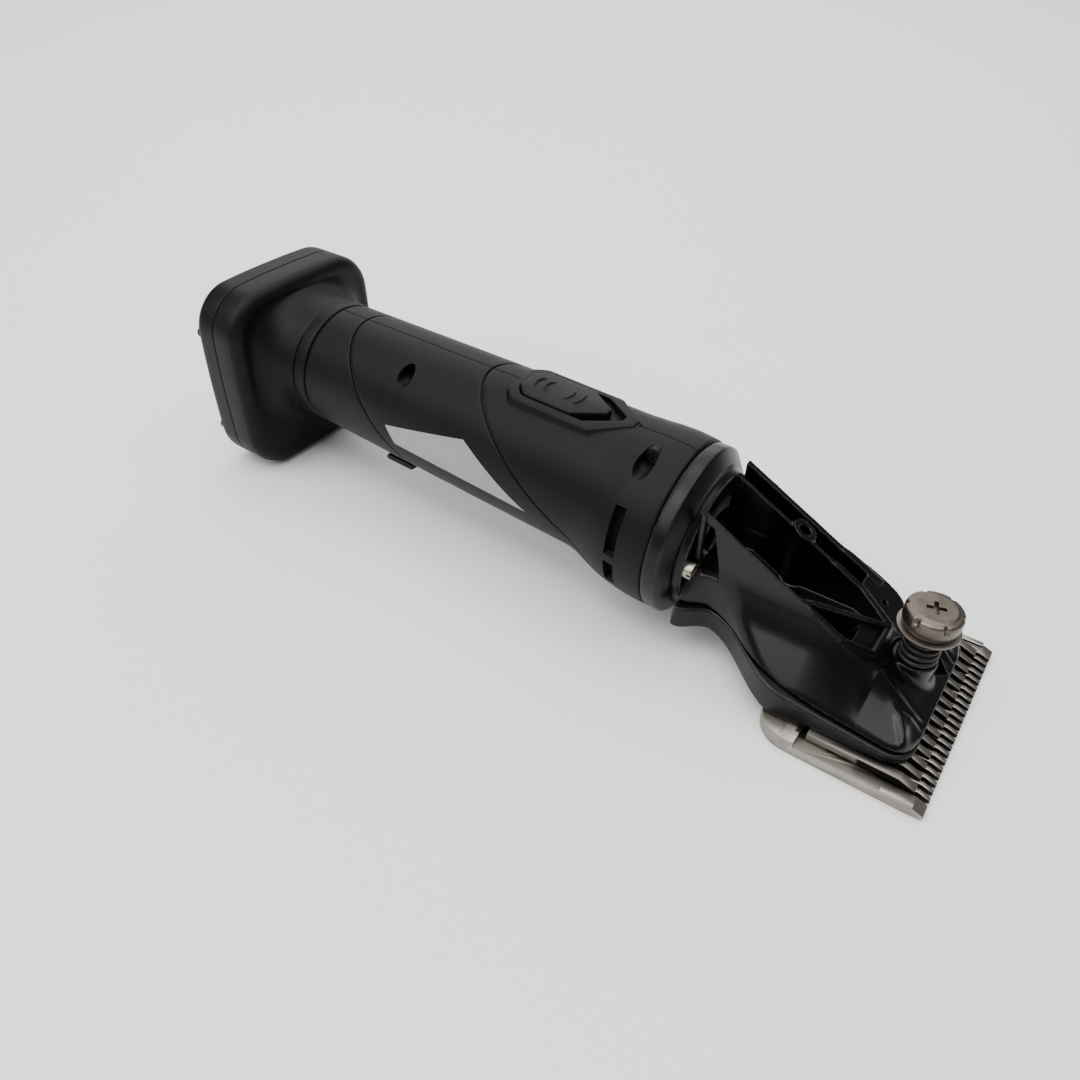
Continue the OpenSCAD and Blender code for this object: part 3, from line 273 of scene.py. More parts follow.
def grip_radius(u):
    """Radius of the round grip; u runs forward from the handle's front."""
    t = np.clip((u + 150.0) / 122.0, 0, 1)
    r = 23.2 + 2.4 * np.minimum(1, t + 0.08 * np.sin(np.pi * t))
    return np.where(u > -20, 25.6 - 1.8 * (u + 20) / 20, r)


case_lean = math.radians(6.3)
case_root = -36.0
case_profile = np.array([[0, 20.0], [6, 24.2], [10, 25.6], [14, 26.9], [20, 28.4], [26, 29.1],
                         [32, 29.3], [36, 29.0], [40, 28.7], [60, 28.0]])
case_steps = np.linspace(0, 60, 241)
case_smooth = np.interp(case_steps, case_profile[:, 0], case_profile[:, 1])
for _ in range(30):
    case_smooth[1:-1] = 0.25 * case_smooth[:-2] + 0.5 * case_smooth[1:-1] + 0.25 * case_smooth[2:]


def handle_radius(u, phi):
    """Distance from the axis to the surface; phi is 0 at the top."""
    grip = grip_radius(u)
    d = np.full(np.broadcast(u, phi).shape, 28.0)
    for _ in range(6):
        w = (u - case_root) * math.cos(case_lean) - d * np.cos(phi) * math.sin(case_lean)
        r = np.interp(w, case_steps, case_smooth)
        a = (u - case_root) * math.sin(case_lean)
        c, s = np.cos(phi) * math.cos(case_lean), np.sin(phi)
        qa, qb, qc = c * c + s * s, a * c, a * a - r * r
        d = (-qb + np.sqrt(np.maximum(qb * qb - qa * qc, 0))) / qa
    near_root = np.clip((u + 40) / 8, 0, 1)
    return soft_max(grip, d * near_root + (grip - 3) * (1 - near_root), 1.6)


rear_groove_at, rear_groove_slope = -115.5, math.radians(42.5)
front_groove_at, front_groove_slope = -42.8, math.radians(55.5)
groove_steps = [(-0.44, 0.0), (-0.27, 0.1), (-0.16, 0.62), (0.16, 0.62), (0.27, 0.1), (0.44, 0.0)]
vent_angles = [61.3, 96.9, 102.8, 124.1]
band_rows = np.array([-15.8, -14.8, -13.9, -13.5, -13.1, -12.3, -11.5, -10.7, -9.9, -9.5, -9.1, -8.0,
                      -6.6, -5.2, -3.8, -2.4, -1.3, -0.65, -0.28, -0.06, 0.0])
vent_rows = (-13.5, -9.5)
wall = 2.6
switch_plan_half = 8.9
switch_floor = 23.3


def groove_line(at, slope, phi):
    """Where a slanted groove runs round the handle."""
    u = np.full(phi.shape, at)
    for _ in range(12):
        u = np.clip(at - handle_radius(u, phi) * np.cos(phi) * math.tan(slope), -149, 4)
    return u


def shell_columns():
    """Angles of the shell's columns, with some on the edges of the vents."""
    edges = [0.0, 0.22, 0.5, 0.95]
    marks = [0.75 * k for k in (-1, 0, 1)]
    fixed = [a + m for a in vent_angles for m in marks]
    plain = [a for a in np.arange(2.2, 178.5, 2.0) if min(abs(a - f) for f in fixed) > 1.0]
    return np.radians(np.array(sorted(edges + plain + fixed + [180 - e for e in edges])))


def spread(low, high, count):
    """Rows strictly between two curves."""
    t = (np.arange(count) + 1.0) / (count + 1.0)
    return [low + (high - low) * k for k in t]


def shell_grid():
    """Rows of places along the handle, and how deep each lies under the surface."""
    phi = shell_columns()
    rear = groove_line(rear_groove_at, rear_groove_slope, phi)
    front = np.minimum(groove_line(front_groove_at, front_groove_slope, phi), -2.6)
    band = np.minimum(np.maximum(-15.8, front + 1.6), -1.0)
    fade = np.clip((-3.2 - front) / 3.0, 0, 1)
    rows, sinks = [], []

    def add(u, sink):
        rows.append(u)
        sinks.append(np.zeros(phi.shape) + sink)

    for u, sink in [(-150.0, 0.9), (-149.94, 0.45), (-149.7, 0.15), (-149.2, 0.02), (-148.4, 0.0)]:
        add(np.full(phi.shape, u), sink)
    for u in spread(np.full(phi.shape, -148.4), rear - 0.62 / math.cos(rear_groove_slope), 26):
        add(u, 0.0)
    for across, sink in groove_steps:
        add(rear + across / math.cos(rear_groove_slope), sink)
    for u in spread(rear + 0.62 / math.cos(rear_groove_slope), front - 1.1, 56):
        add(u, 0.0)
    for across, sink in groove_steps:
        add(front + across * 1.7, sink * fade)
    for u in spread(front + 1.06, band, 52):
        add(u, 0.0)
    for u in band_rows:
        add(band * (u / -15.8) if u < 0 else np.zeros(phi.shape),
            {-0.28: 0.08, -0.06: 0.3, 0.0: 0.6}.get(u, 0.0))
    return phi, np.array(rows), np.array(sinks)


def linked(name, data):
    """Puts a mesh, a camera or a light in the scene as an object."""
    made = bpy.data.objects.new(name, data)
    bpy.context.scene.collection.objects.link(made)
    return made


def shaped(name, work):
    """Turns finished bmesh work into an object."""
    mesh = bpy.data.meshes.new(name)
    work.to_mesh(mesh)
    work.free()
    return linked(name, mesh)


def piece(name, verts, faces):
    """Makes a closed object from places in metres, its faces turned outwards."""
    mesh = bpy.data.meshes.new(name)
    mesh.from_pydata([tuple(v) for v in verts], [], [tuple(f) for f in faces])
    mesh.validate()
    mesh.update()
    made = linked(name, mesh)
    made.data.shade_smooth()
    outward(made)
    return made


def finish_piece(made, material, body, replaced, sharp=None):
    """Dresses a piece and lets it ride; sharp is the angle above which edges stay hard."""
    made.data.materials.clear()
    made.data.materials.append(material)
    if sharp is not None:
        made.data.shade_smooth()
        made.data.set_sharp_from_angle(angle=math.radians(sharp))
    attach(made, body)
    if replaced:
        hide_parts(*replaced)
    return made


def applied(made):
    """Applies the object's modifiers to its mesh."""
    depsgraph = bpy.context.evaluated_depsgraph_get()
    mesh = bpy.data.meshes.new_from_object(made.evaluated_get(depsgraph))
    made.modifiers.clear()
    old = made.data
    made.data = mesh
    bpy.data.meshes.remove(old)
    return made


def outward(made):
    """Turns every face outwards."""
    work = bmesh.new()
    work.from_mesh(made.data)
    bmesh.ops.recalc_face_normals(work, faces=work.faces)
    work.to_mesh(made.data)
    work.free()


def cut_away(made, cutter, crossing=False):
    """Cuts one closed mesh out of another; crossing is for one that crosses itself."""
    bpy.context.view_layer.update()
    knife = made.modifiers.new("cut", "BOOLEAN")
    knife.operation = "DIFFERENCE"
    knife.solver = "EXACT"
    knife.use_self = crossing
    knife.object = cutter
    applied(made)
    bpy.data.objects.remove(cutter, do_unlink=True)


rod_sides = 48


def rod_mesh(parts):
    """Closed rods and boxes in the handle's frame, joined in one mesh for cutting."""
    verts, faces = [], []
    for shape in parts:
        start = len(verts)
        if shape[0] == "rod":
            _, u, w, r, y0, y1 = shape
            n = rod_sides
            for y in (y0, y1):
                for k in range(n):
                    a = 2 * math.pi * k / n
                    verts.append((u + r * math.cos(a), y, w + r * math.sin(a)))
            faces.append([start + k for k in range(n)])
            faces.append([start + n + k for k in reversed(range(n))])
            faces += [[start + (k + 1) % n, start + k, start + n + k, start + n + (k + 1) % n]
                      for k in range(n)]
        else:
            _, low, high = shape
            for k in range(8):
                verts.append(tuple((high if k >> i & 1 else low)[i] for i in range(3)))
            for f in ((0, 2, 3, 1), (4, 5, 7, 6), (0, 1, 5, 4), (2, 6, 7, 3), (0, 4, 6, 2), (1, 3, 7, 5)):
                faces.append([start + k for k in f])
    mesh = bpy.data.meshes.new("cutter")
    mesh.from_pydata([tuple(v) for v in on_handle(np.array(verts))], [], faces)
    made = linked("cutter", mesh)
    outward(made)
    return made


def grained_black(name, base, lit, rough=0.42, grain=3600.0, depth=0.00006):
    """Fine spark grain in satin black plastic, with handling polish, faint dust and painted shade darkening
    its hollows.
    """
    f = Finish(name, Specular_IOR_Level=0.15)
    polish = f.noise(38, 3, 0.55)
    dust = f.noise(210, 5, 0.7)
    grain_cells = f.noise(grain, 3, 0.62)
    tone = f.colours(polish.over(0.35, 0.7), base, lit)
    worn = f.edges(0.54, 0.66) * (0.15 + dust * 0.3)
    # painted shade: hollows and creases are darkened towards near black, standing in for the shade that
    # falls there
    painted_hollow_shade = 1 - f.edges(0.40, 0.485)
    tone = f.colours(worn, tone, rgb(0.04, 0.043, 0.048))
    f.set("Base Color", f.colours(painted_hollow_shade * 0.85, tone, rgb(0.002, 0.002, 0.0022)))
    f.set("Roughness", rough + polish * 0.12 + dust.over(0.55, 0.85) * 0.12)
    f.set("Normal", f.relief(grain_cells, depth, 0.55))
    return f.material


shell_black = grained_black("satin_black_shell", rgb(0.0019, 0.0024, 0.0033), rgb(0.0031, 0.0038, 0.0051))
screw_places = [(-11.2, 22.8), (-105.2, 18.6), (-83.0, -18.4)]


def switch_plan_depth(u, y):
    """How far inside the switch opening a place lies, in millimetres."""
    side = switch_plan_half - np.abs(y)
    rear = u + 65.6
    nose = (-23.6 - u) * 0.62 + 0.6 - np.abs(y) * 0.8 + 1.2
    return np.minimum(np.minimum(side, rear), nose)


def screw_bosses(side):
    """Posts round the shell screws, counterbored under the skin of their half shell."""
    count, skin, bore_skin, deepest = 40, 1.3, 1.7, 6.1
    post_r, shank_r, head_r, at_seam, seat = 4.1, 1.55, 3.0, 0.1, 6.0
    profile = [(post_r, None), (post_r, at_seam), (shank_r, at_seam), (shank_r, seat),
               (head_r, seat), (head_r, None)]
    angle = np.arange(count) * 2 * math.pi / count
    verts, faces = [], []
    for u, w in screw_places:
        rings = []
        for r, depth in profile:
            along, up = u + r * np.cos(angle), w + r * np.sin(angle)
            reach = np.full(count, abs(w) + 5.0)
            for _ in range(4):
                reach = handle_radius(along, np.arccos(np.clip(up / reach, -1, 1))) - skin
            out = np.maximum(np.sqrt(np.maximum(reach ** 2 - up ** 2, 0)), deepest)
            if depth is not None:
                out = np.minimum(np.full(count, depth), out)
            limit = handle_radius(along, np.arctan2(out, up)) - (skin if r == post_r else bore_skin)
            held = np.minimum(1, limit / np.hypot(out, up))
            out, up = out * held, up * held
            rings.append(on_handle(np.column_stack([along, side * out, up])))
        start = len(verts)
        for ring in rings:
            verts += [tuple(v) for v in ring]
        for k in range(len(rings)):
            low, high = start + k * count, start + (k + 1) % len(rings) * count
            for j in range(count):
                n = (j + 1) % count
                faces.append((low + j, low + n, high + n, high + j))
    return piece("bosses", verts, faces)


def vent_cells(phi, n_rows):
    """Which cells of the shell's grid lie in a vent slot."""
    vent = np.zeros((n_rows - 1, len(phi) - 1), bool)
    degrees = np.degrees(phi)
    first_band = n_rows - len(band_rows)
    low_row, high_row = [first_band + int(np.where(band_rows == u)[0][0]) for u in vent_rows]
    for slot in (vent_angles[:2], vent_angles[2:]):
        first, last = [int(np.argmin(abs(degrees - edge))) for edge in slot]
        vent[low_row:high_row, first:last] = True
    return vent


def join(made, other):
    """Adds the other piece's faces to made, and removes the other."""
    together = bmesh.new()
    together.from_mesh(made.data)
    together.from_mesh(other.data)
    together.to_mesh(made.data)
    together.free()
    bpy.data.objects.remove(other, do_unlink=True)


def half_shell(name, side):
    """One half shell with its vents, switch opening, posts and screw holes."""
    phi, rows, sinks = shell_grid()
    full = handle_radius(rows, phi[None, :])
    seam = np.interp(np.degrees(phi), [0, 0.22, 0.5, 0.95, 179.05, 179.5, 179.78, 180],
                     [0.42, 0.2, 0.04, 0, 0, 0.04, 0.2, 0.42])
    outer = full - sinks - seam[None, :]
    y = outer * np.sin(phi)[None, :]
    opening = np.clip((switch_plan_depth(rows, y) + 0.2) / 1.2, 0, 1)
    cosine = np.cos(phi)[None, :]
    lowered = np.where(cosine > 0.3, switch_floor / np.maximum(cosine, 0.3), outer)
    outer = outer + (np.minimum(outer, lowered) - outer) * opening
    inner = np.minimum(full - wall, outer - 0.8)
    n_rows, n_cols = rows.shape
    across = np.maximum(np.sin(phi), 0.0)[None, :]
    gap = 0.04

    def places(radius):
        flat = np.stack([rows, side * (radius * across + gap), radius * np.cos(phi)[None, :]], axis=-1)
        return on_handle(flat).reshape(-1, 3)

    verts = np.concatenate([places(outer), places(inner)])
    half = n_rows * n_cols
    vent = vent_cells(phi, n_rows)

    def at(i, j, deep=0):
        return deep * half + i * n_cols + j

    faces = []
    for i in range(n_rows - 1):
        for j in range(n_cols - 1):
            if vent[i, j]:
                for di, dj, a, b in ((-1, 0, (i, j), (i, j + 1)),
                                     (1, 0, (i + 1, j + 1), (i + 1, j)),
                                     (0, -1, (i + 1, j), (i, j)),
                                     (0, 1, (i, j + 1), (i + 1, j + 1))):
                    if not vent[i + di, j + dj]:
                        faces.append((at(*a), at(*b), at(*b, 1), at(*a, 1)))
                continue
            faces.append((at(i, j), at(i, j + 1), at(i + 1, j + 1), at(i + 1, j)))
            faces.append((at(i, j, 1), at(i + 1, j, 1), at(i + 1, j + 1, 1), at(i, j + 1, 1)))
    end, edge = n_rows - 1, n_cols - 1
    for i in range(end):
        faces.append((at(i, 0), at(i + 1, 0), at(i + 1, 0, 1), at(i, 0, 1)))
        faces.append((at(i + 1, edge), at(i, edge), at(i, edge, 1), at(i + 1, edge, 1)))
    for j in range(edge):
        faces.append((at(0, j + 1), at(0, j), at(0, j, 1), at(0, j + 1, 1)))
        faces.append((at(end, j), at(end, j + 1), at(end, j + 1, 1), at(end, j, 1)))
    made = piece(name, verts, faces)
    bosses = screw_bosses(side)
    cuts = [("box", (-141.0, -6.3, -40.0), (-108.0, 6.3, -16.6)),
            ("box", (-55.4, -3.3, 15.0), (-40.5, 3.3, 23.45))]
    if side < 0:
        for u, w in screw_places:
            cuts.append(("rod", u, w, 3.0, -40.0, -6.2))
    cut_away(made, rod_mesh(cuts))
    join(made, bosses)
    return made


for name, side in (("handle_shell_near", -1), ("handle_shell_far", 1)):
    shell = half_shell(name + "_moulding", side)
    finish_piece(shell, shell_black, "handle", (name,), sharp=38)

# ---------------------------------------------------------------- switch
# A raised surround moulded on the shells, drawn to a point at the front, with the
# thumb slider in its pocket: satin black plastic with two pairs of curved ridges.
# The slider clicks on the switch body under the floor and rides on its own body.


def rounded_outline(corners, radii, steps=6):
    """A closed outline with its corners rounded, in order round the shape."""
    out = []
    n = len(corners)
    for i in range(n):
        p = np.array(corners[i], float)
        a = np.array(corners[i - 1], float) - p
        b = np.array(corners[(i + 1) % n], float) - p
        la, lb = np.linalg.norm(a), np.linalg.norm(b)
        a, b = a / la, b / lb
        half = 0.5 * math.acos(max(-1, min(1, float(a @ b))))
        cut = min(radii[i] / math.tan(half), 0.48 * la, 0.48 * lb)
        r = cut * math.tan(half)
        middle = p + (a + b) / np.linalg.norm(a + b) * (r / math.sin(half))
        start, end = p + a * cut - middle, p + b * cut - middle
        turn = math.atan2(start[0] * end[1] - start[1] * end[0], start @ end)
        for k in range(steps + 1):
            t = turn * k / steps
            out.append(middle + np.array([start[0] * math.cos(t) - start[1] * math.sin(t),
                                          start[0] * math.sin(t) + start[1] * math.cos(t)]))
    return np.array(out)


def normals_out(line):
    """Unit normals of a closed outline, away from its middle."""
    run = np.roll(line, -1, 0) - np.roll(line, 1, 0)
    normal = np.stack([run[:, 1], -run[:, 0]], axis=1)
    normal /= np.linalg.norm(normal, axis=1)[:, None]
    if ((line - line.mean(axis=0)) * normal).sum() < 0:
        normal = -normal
    return normal


def switch_outline(half, rear, front, nose, rear_cut, grow):
    """Plan of the surround, pocket or slider, drawn to a blunt point at the front."""
    radii = [3.5, 3.5, 3.0, 1.0]
    tip = half * 0.16
    right = [(rear, half - rear_cut), (rear + rear_cut, half), (front - nose, half), (front, tip)]
    corners = right + [(u, -y) for u, y in reversed(right)]
    line = rounded_outline(corners, radii + radii[::-1])
    return line + normals_out(line) * grow


def stack(rings, capped=False, closed=False):
    """Joins outlines of equal count into a skin, capped or closed on itself."""
    n = len(rings[0])
    verts = np.concatenate(rings)
    faces = []
    for k in range(len(rings) - 1):
        for i in range(n):
            j = (i + 1) % n
            faces.append((k * n + i, k * n + j, (k + 1) * n + j, (k + 1) * n + i))
    last = (len(rings) - 1) * n
    if capped:
        faces.append(tuple(reversed(range(n))))
        faces.append(tuple(last + i for i in range(n)))
    if closed:
        faces += [(last + i, last + (i + 1) % n, (i + 1) % n, i) for i in range(n)]
    return verts, faces


def ring_at(line, height):
    """An outline lifted to heights over the handle's axis."""
    h = np.zeros(len(line)) + height
    return on_handle(np.column_stack([line[:, 0], line[:, 1], h]))


surround_plan = dict(half=11.3, rear=-67.0, front=-22.0, nose=11.5, rear_cut=3.6)
pocket_plan = dict(half=8.4, rear=-64.3, front=-26.6, nose=10.5, rear_cut=3.2)


def surround_top(line):
    """Height of the surround's crowned top over the axis."""
    return 26.05 - 0.0105 * line[:, 1] ** 2


def grip_height(line):
    """Height of the grip's own surface over the axis."""
    return np.sqrt(np.maximum(grip_radius(line[:, 0]) ** 2 - line[:, 1] ** 2, 1.0))


rings = []
for grow, lift in ((1.1, -1.4), (0.9, -0.12), (0.62, 0.0)):
    line = switch_outline(**surround_plan, grow=grow)
    rings.append(ring_at(line, grip_height(line) + lift))
for grow, drop in ((0.12, 0.5), (0.0, 0.26), (-0.16, 0.08), (-0.42, 0.0)):
    line = switch_outline(**surround_plan, grow=grow)
    high = surround_top(line) - drop
    rings.append(ring_at(line, np.maximum(high, grip_height(line) - 0.05 - 0.3 * drop)))
for grow, drop in ((0.42, 0.0), (0.14, 0.06), (0.02, 0.24), (0.0, 0.5)):
    line = switch_outline(**pocket_plan, grow=grow)
    rings.append(ring_at(line, surround_top(line) - drop))
for grow in (0.0, 0.9):
    line = switch_outline(**pocket_plan, grow=grow)
    rings.append(ring_at(line, np.full(len(line), switch_floor - 0.1)))
surround = piece("switch_surround", *stack(rings, closed=True))
finish_piece(surround, shell_black, "handle", (), sharp=50)

slider_plan = dict(half=8.1, rear=-64.0, front=-32.0, nose=10.2, rear_cut=3.2)


def slider_top(line):
    """Height of the slider's top: crowned across, dished for the thumb."""
    u, y = line[:, 0], line[:, 1]
    tip = np.clip(u + 39.5, 0, None)
    return 26.95 - 0.016 * y ** 2 - 0.011 * tip ** 2 - 0.35 * np.exp(-((u + 51.5) / 4.5) ** 2)


rings = []
for grow, drop in ((0.0, None), (0.0, 0.75), (-0.03, 0.42), (-0.16, 0.14), (-0.42, 0.0)):
    line = switch_outline(**slider_plan, grow=grow)
    height = np.full(len(line), 23.8) if drop is None else slider_top(line) - drop
    rings.append(ring_at(line, height))
rim = switch_outline(**slider_plan, grow=-0.42)
middle = np.array([-48.0, 0.0])
for share in (0.93, 0.82, 0.68, 0.52, 0.36, 0.2, 0.08):
    line = middle + (rim - middle) * share
    rings.append(ring_at(line, slider_top(line)))
verts, faces = stack(rings, capped=True)
verts, faces = list(verts), list(faces)
turns = np.linspace(-1, 1, 15)
for at, bend, reach in ((-60.4, -1, 3.4), (-56.6, -1, 3.6), (-46.4, 1, 3.9), (-42.4, 1, 4.3)):
    start = len(verts)
    for t in turns:
        y = reach * t
        u = at - bend * 1.7 * t * t
        end = 1 - abs(t) ** 6
        ridge = ((-0.75, -0.25), (-0.42, 0.34 * end), (0.0, 0.5 * end), (0.42, 0.34 * end), (0.75, -0.25))
        for across, lift in ridge:
            spot = np.array([[u + across * (0.35 + 0.65 * end), y]])
            verts.append(ring_at(spot, slider_top(spot) + lift)[0])
    for k in range(len(turns) - 1):
        for m in range(4):
            a = start + 5 * k + m
            faces.append((a, a + 1, a + 6, a + 5))
        a = start + 5 * k
        faces.append((a, a + 5, a + 9, a + 4))
    faces.append(tuple(start + m for m in range(5)))
    faces.append(tuple(start + 5 * (len(turns) - 1) + m for m in reversed(range(5))))
slider_black = grained_black("satin_black_slider", rgb(0.003, 0.0035, 0.0045),
                             rgb(0.0048, 0.0055, 0.0068), 0.36, 4200.0)
slider = piece("switch_slider", verts, faces)
finish_piece(slider, slider_black, "switch", ("switch_button",), sharp=50)

# ---------------------------------------------------------------- label
# A bare printed label of pale plastic film, stuck in a shallow place on the near
# side of the grip; four corners, wrapped round the handle.
label_corners = [(-108.5, 86.0), (-73.8, 67.0), (-46.5, 105.0), (-104.7, 102.0)]


def label_place(s, t, lift):
    """s runs along the grip and t down it, from 0 to 1."""
    c = np.array(label_corners)
    along, down = s[..., None], t[..., None]
    flat = ((1 - along) * (1 - down) * c[0] + along * (1 - down) * c[1]
            + along * down * c[2] + (1 - along) * down * c[3])
    u, phi = flat[..., 0], np.radians(flat[..., 1])
    r = handle_radius(u, phi) + lift
    return on_handle(np.stack([u, -r * np.sin(phi), r * np.cos(phi)], axis=-1))


steps_s, steps_t = 64, 22
s, t = np.meshgrid(np.linspace(0, 1, steps_s), np.linspace(0, 1, steps_t), indexing="ij")
edge = np.minimum(np.minimum(s, 1 - s) * 60, np.minimum(t, 1 - t) * 16)
top = label_place(s, t, np.where(edge < 0.05, 0.04, 0.14))
low = label_place(s, t, np.full(s.shape, -0.25))
verts = np.concatenate([top.reshape(-1, 3), low.reshape(-1, 3)])
count = steps_s * steps_t
faces = []
for i in range(steps_s - 1):
    for j in range(steps_t - 1):
        a = i * steps_t + j
        faces.append((a, a + 1, a + steps_t + 1, a + steps_t))
        faces.append((count + a, count + a + steps_t, count + a + steps_t + 1, count + a + 1))
border = ([(i, 0) for i in range(steps_s)] + [(steps_s - 1, j) for j in range(1, steps_t)]
          + [(i, steps_t - 1) for i in range(steps_s - 2, -1, -1)]
          + [(0, j) for j in range(steps_t - 2, 0, -1)])
border = [i * steps_t + j for i, j in border]
for a, b in zip(border, border[1:] + border[:1]):
    faces.append((a, b, count + b, count + a))
film = Finish("pale_label_film", Coat_Weight=0.25, Coat_Roughness=0.2)
scuff = film.noise(260, 5, 0.7, (0.3, 1, 1))
handled = film.noise(45, 3, 0.5)
film.set("Base Color", film.colours(scuff.over(0.5, 0.85) * 0.5 + handled.over(0.45, 0.8) * 0.25,
                                    rgb(0.27, 0.275, 0.27), rgb(0.17, 0.173, 0.173)))
film.set("Roughness", 0.34 + scuff * 0.2)
film.set("Normal", film.relief(film.noise(2600, 2, 0.5), 0.00003, 0.3))
label = piece("blank_label", verts, faces)
finish_piece(label, film.material, "handle", (), sharp=40)

# ---------------------------------------------------------------- vents
# Black woven dust screens behind the slots of the gear case: plastic mesh pressed
# against the inside of the shells.
mesh_black = Finish("dust_screen_mesh", Roughness=0.85, Specular_IOR_Level=0.1)
weave_a = mesh_black.node("ShaderNodeTexWave", {"bands_direction": "X"},
                          {"Vector": mesh_black.place(), "Scale": 260.0}, output="Fac")
weave_b = mesh_black.node("ShaderNodeTexWave", {"bands_direction": "Z"},
                          {"Vector": mesh_black.place(), "Scale": 260.0}, output="Fac")
weave = weave_a * weave_b
mesh_black.set("Base Color", mesh_black.colours(weave, rgb(0.001, 0.001, 0.001), rgb(0.004, 0.004, 0.0045)))
mesh_black.set("Normal", mesh_black.relief(weave, 0.0002, 0.8))
dress("vent_screens", mesh_black.material)

# ---------------------------------------------------------------- collar
# Turned ring in dark enamelled alloy between the gear case and the head, with a
# broad bevel whose edges get a light colour, partly wear and partly painted highlight.
# Two nickel screws go through it and the gear plate into the head.
collar_drop = 36.0 * math.tan(case_lean)
collar_profile = [(0.0, 27.9), (0.1, 28.35), (0.35, 28.7), (0.75, 28.88), (1.6, 28.95), (4.4, 28.95),
                  (4.9, 28.85), (5.2, 28.6), (5.5, 28.2), (8.2, 24.9), (8.45, 24.4), (8.55, 23.9),
                  (8.7, 23.5), (9.0, 23.25), (9.4, 23.0), (10.5, 22.6), (10.9, 22.3), (11.0, 21.8),
                  (11.0, 17.0), (11.0, 11.0), (8.0, 11.0), (8.0, 15.0), (0.0, 15.0)]


def enamel(name, base, lit, rough, peel, edge_wear_highlight_colour, amount, coat=0.0):
    """Baked enamel on a casting: orange peel, faint clouding, and thin edges lightened as wear and as
    painted highlight.
    """
    f = Finish(name, Coat_Weight=coat, Coat_Roughness=0.12, Specular_IOR_Level=0.22)
    cloud = f.noise(70, 4, 0.6)
    skin = f.noise(1500, 2, 0.5)
    fine = f.noise(7000, 2, 0.6)
    # sharp edges get a lighter, partly metallic colour: partly worn enamel, partly painted highlight along
    # edges that catch light
    worn_edge_highlight = f.edges(0.52, 0.585) * (0.35 + f.noise(420, 4, 0.7).over(0.4, 0.62) * 0.65) * amount
    f.set("Base Color", f.colours(worn_edge_highlight, f.colours(cloud.over(0.3, 0.75), base, lit), edge_wear_highlight_colour))
    f.set("Roughness", rough + cloud * 0.1 + worn_edge_highlight * 0.15 + fine * 0.04)
    f.set("Metallic", worn_edge_highlight * 0.7)
    f.set("Normal", f.relief(skin * 0.8 + fine * 0.2, peel, 0.5))
    return f.material


collar_count = 144
angle = np.arange(collar_count) * 2 * math.pi / collar_count
rings = [on_handle(np.column_stack([np.full(collar_count, along), r * np.sin(angle),
                                    r * np.cos(angle) - collar_drop])) for along, r in collar_profile]
collar_enamel = enamel("collar_enamel", rgb(0.0017, 0.0018, 0.002), rgb(0.003, 0.0031, 0.0034), 0.24,
                       0.00004, rgb(0.3, 0.29, 0.28), 0.6)
collar = piece("head_collar_ring", *stack(rings, closed=True))
finish_piece(collar, collar_enamel, "handle", ("head_collar",), sharp=50)


def refined(name, node, width, body, material, angle=28, segments=2, sharp=35):
    """A copy of a CAD node with its flat faces merged and its edges eased."""
    mesh = frame["nodes"][node].data.copy()
    made = linked(name, mesh)
    work = bmesh.new()
    work.from_mesh(mesh)
    bmesh.ops.remove_doubles(work, verts=work.verts, dist=0.000002)
    bmesh.ops.dissolve_limit(work, angle_limit=math.radians(1), verts=work.verts, edges=work.edges)
    work.to_mesh(mesh)
    work.free()
    ease = made.modifiers.new("eased", "BEVEL")
    ease.width = width * 0.001
    ease.segments = segments
    ease.limit_method = "ANGLE"
    ease.angle_limit = math.radians(angle)
    ease.use_clamp_overlap = True
    ease.harden_normals = False
    bpy.context.view_layer.update()
    applied(made)
    finish_piece(made, material, body, (node,), sharp=sharp)


nickel = turned_metal("nickel_plate", rgb(0.42, 0.375, 0.32), rgb(0.26, 0.23, 0.195), 0.24, 5200.0)
refined("collar_screw_pair", "collar_screws", 0.18, "handle", nickel)

# ---------------------------------------------------------------- head casting
# Die-cast alloy head in gloss black enamel: a broad skirt over the comb, a waist
# behind it, and tall ribs that climb to the collar round a deep channel, with a
# cross wall and a shelf pocket near the front. Two castings part along a plane;
# the screws of the collar and of the comb hold them.
tip = float(cad_box[1][0])
head_place = np.array([tip, 0.0, 0.0])


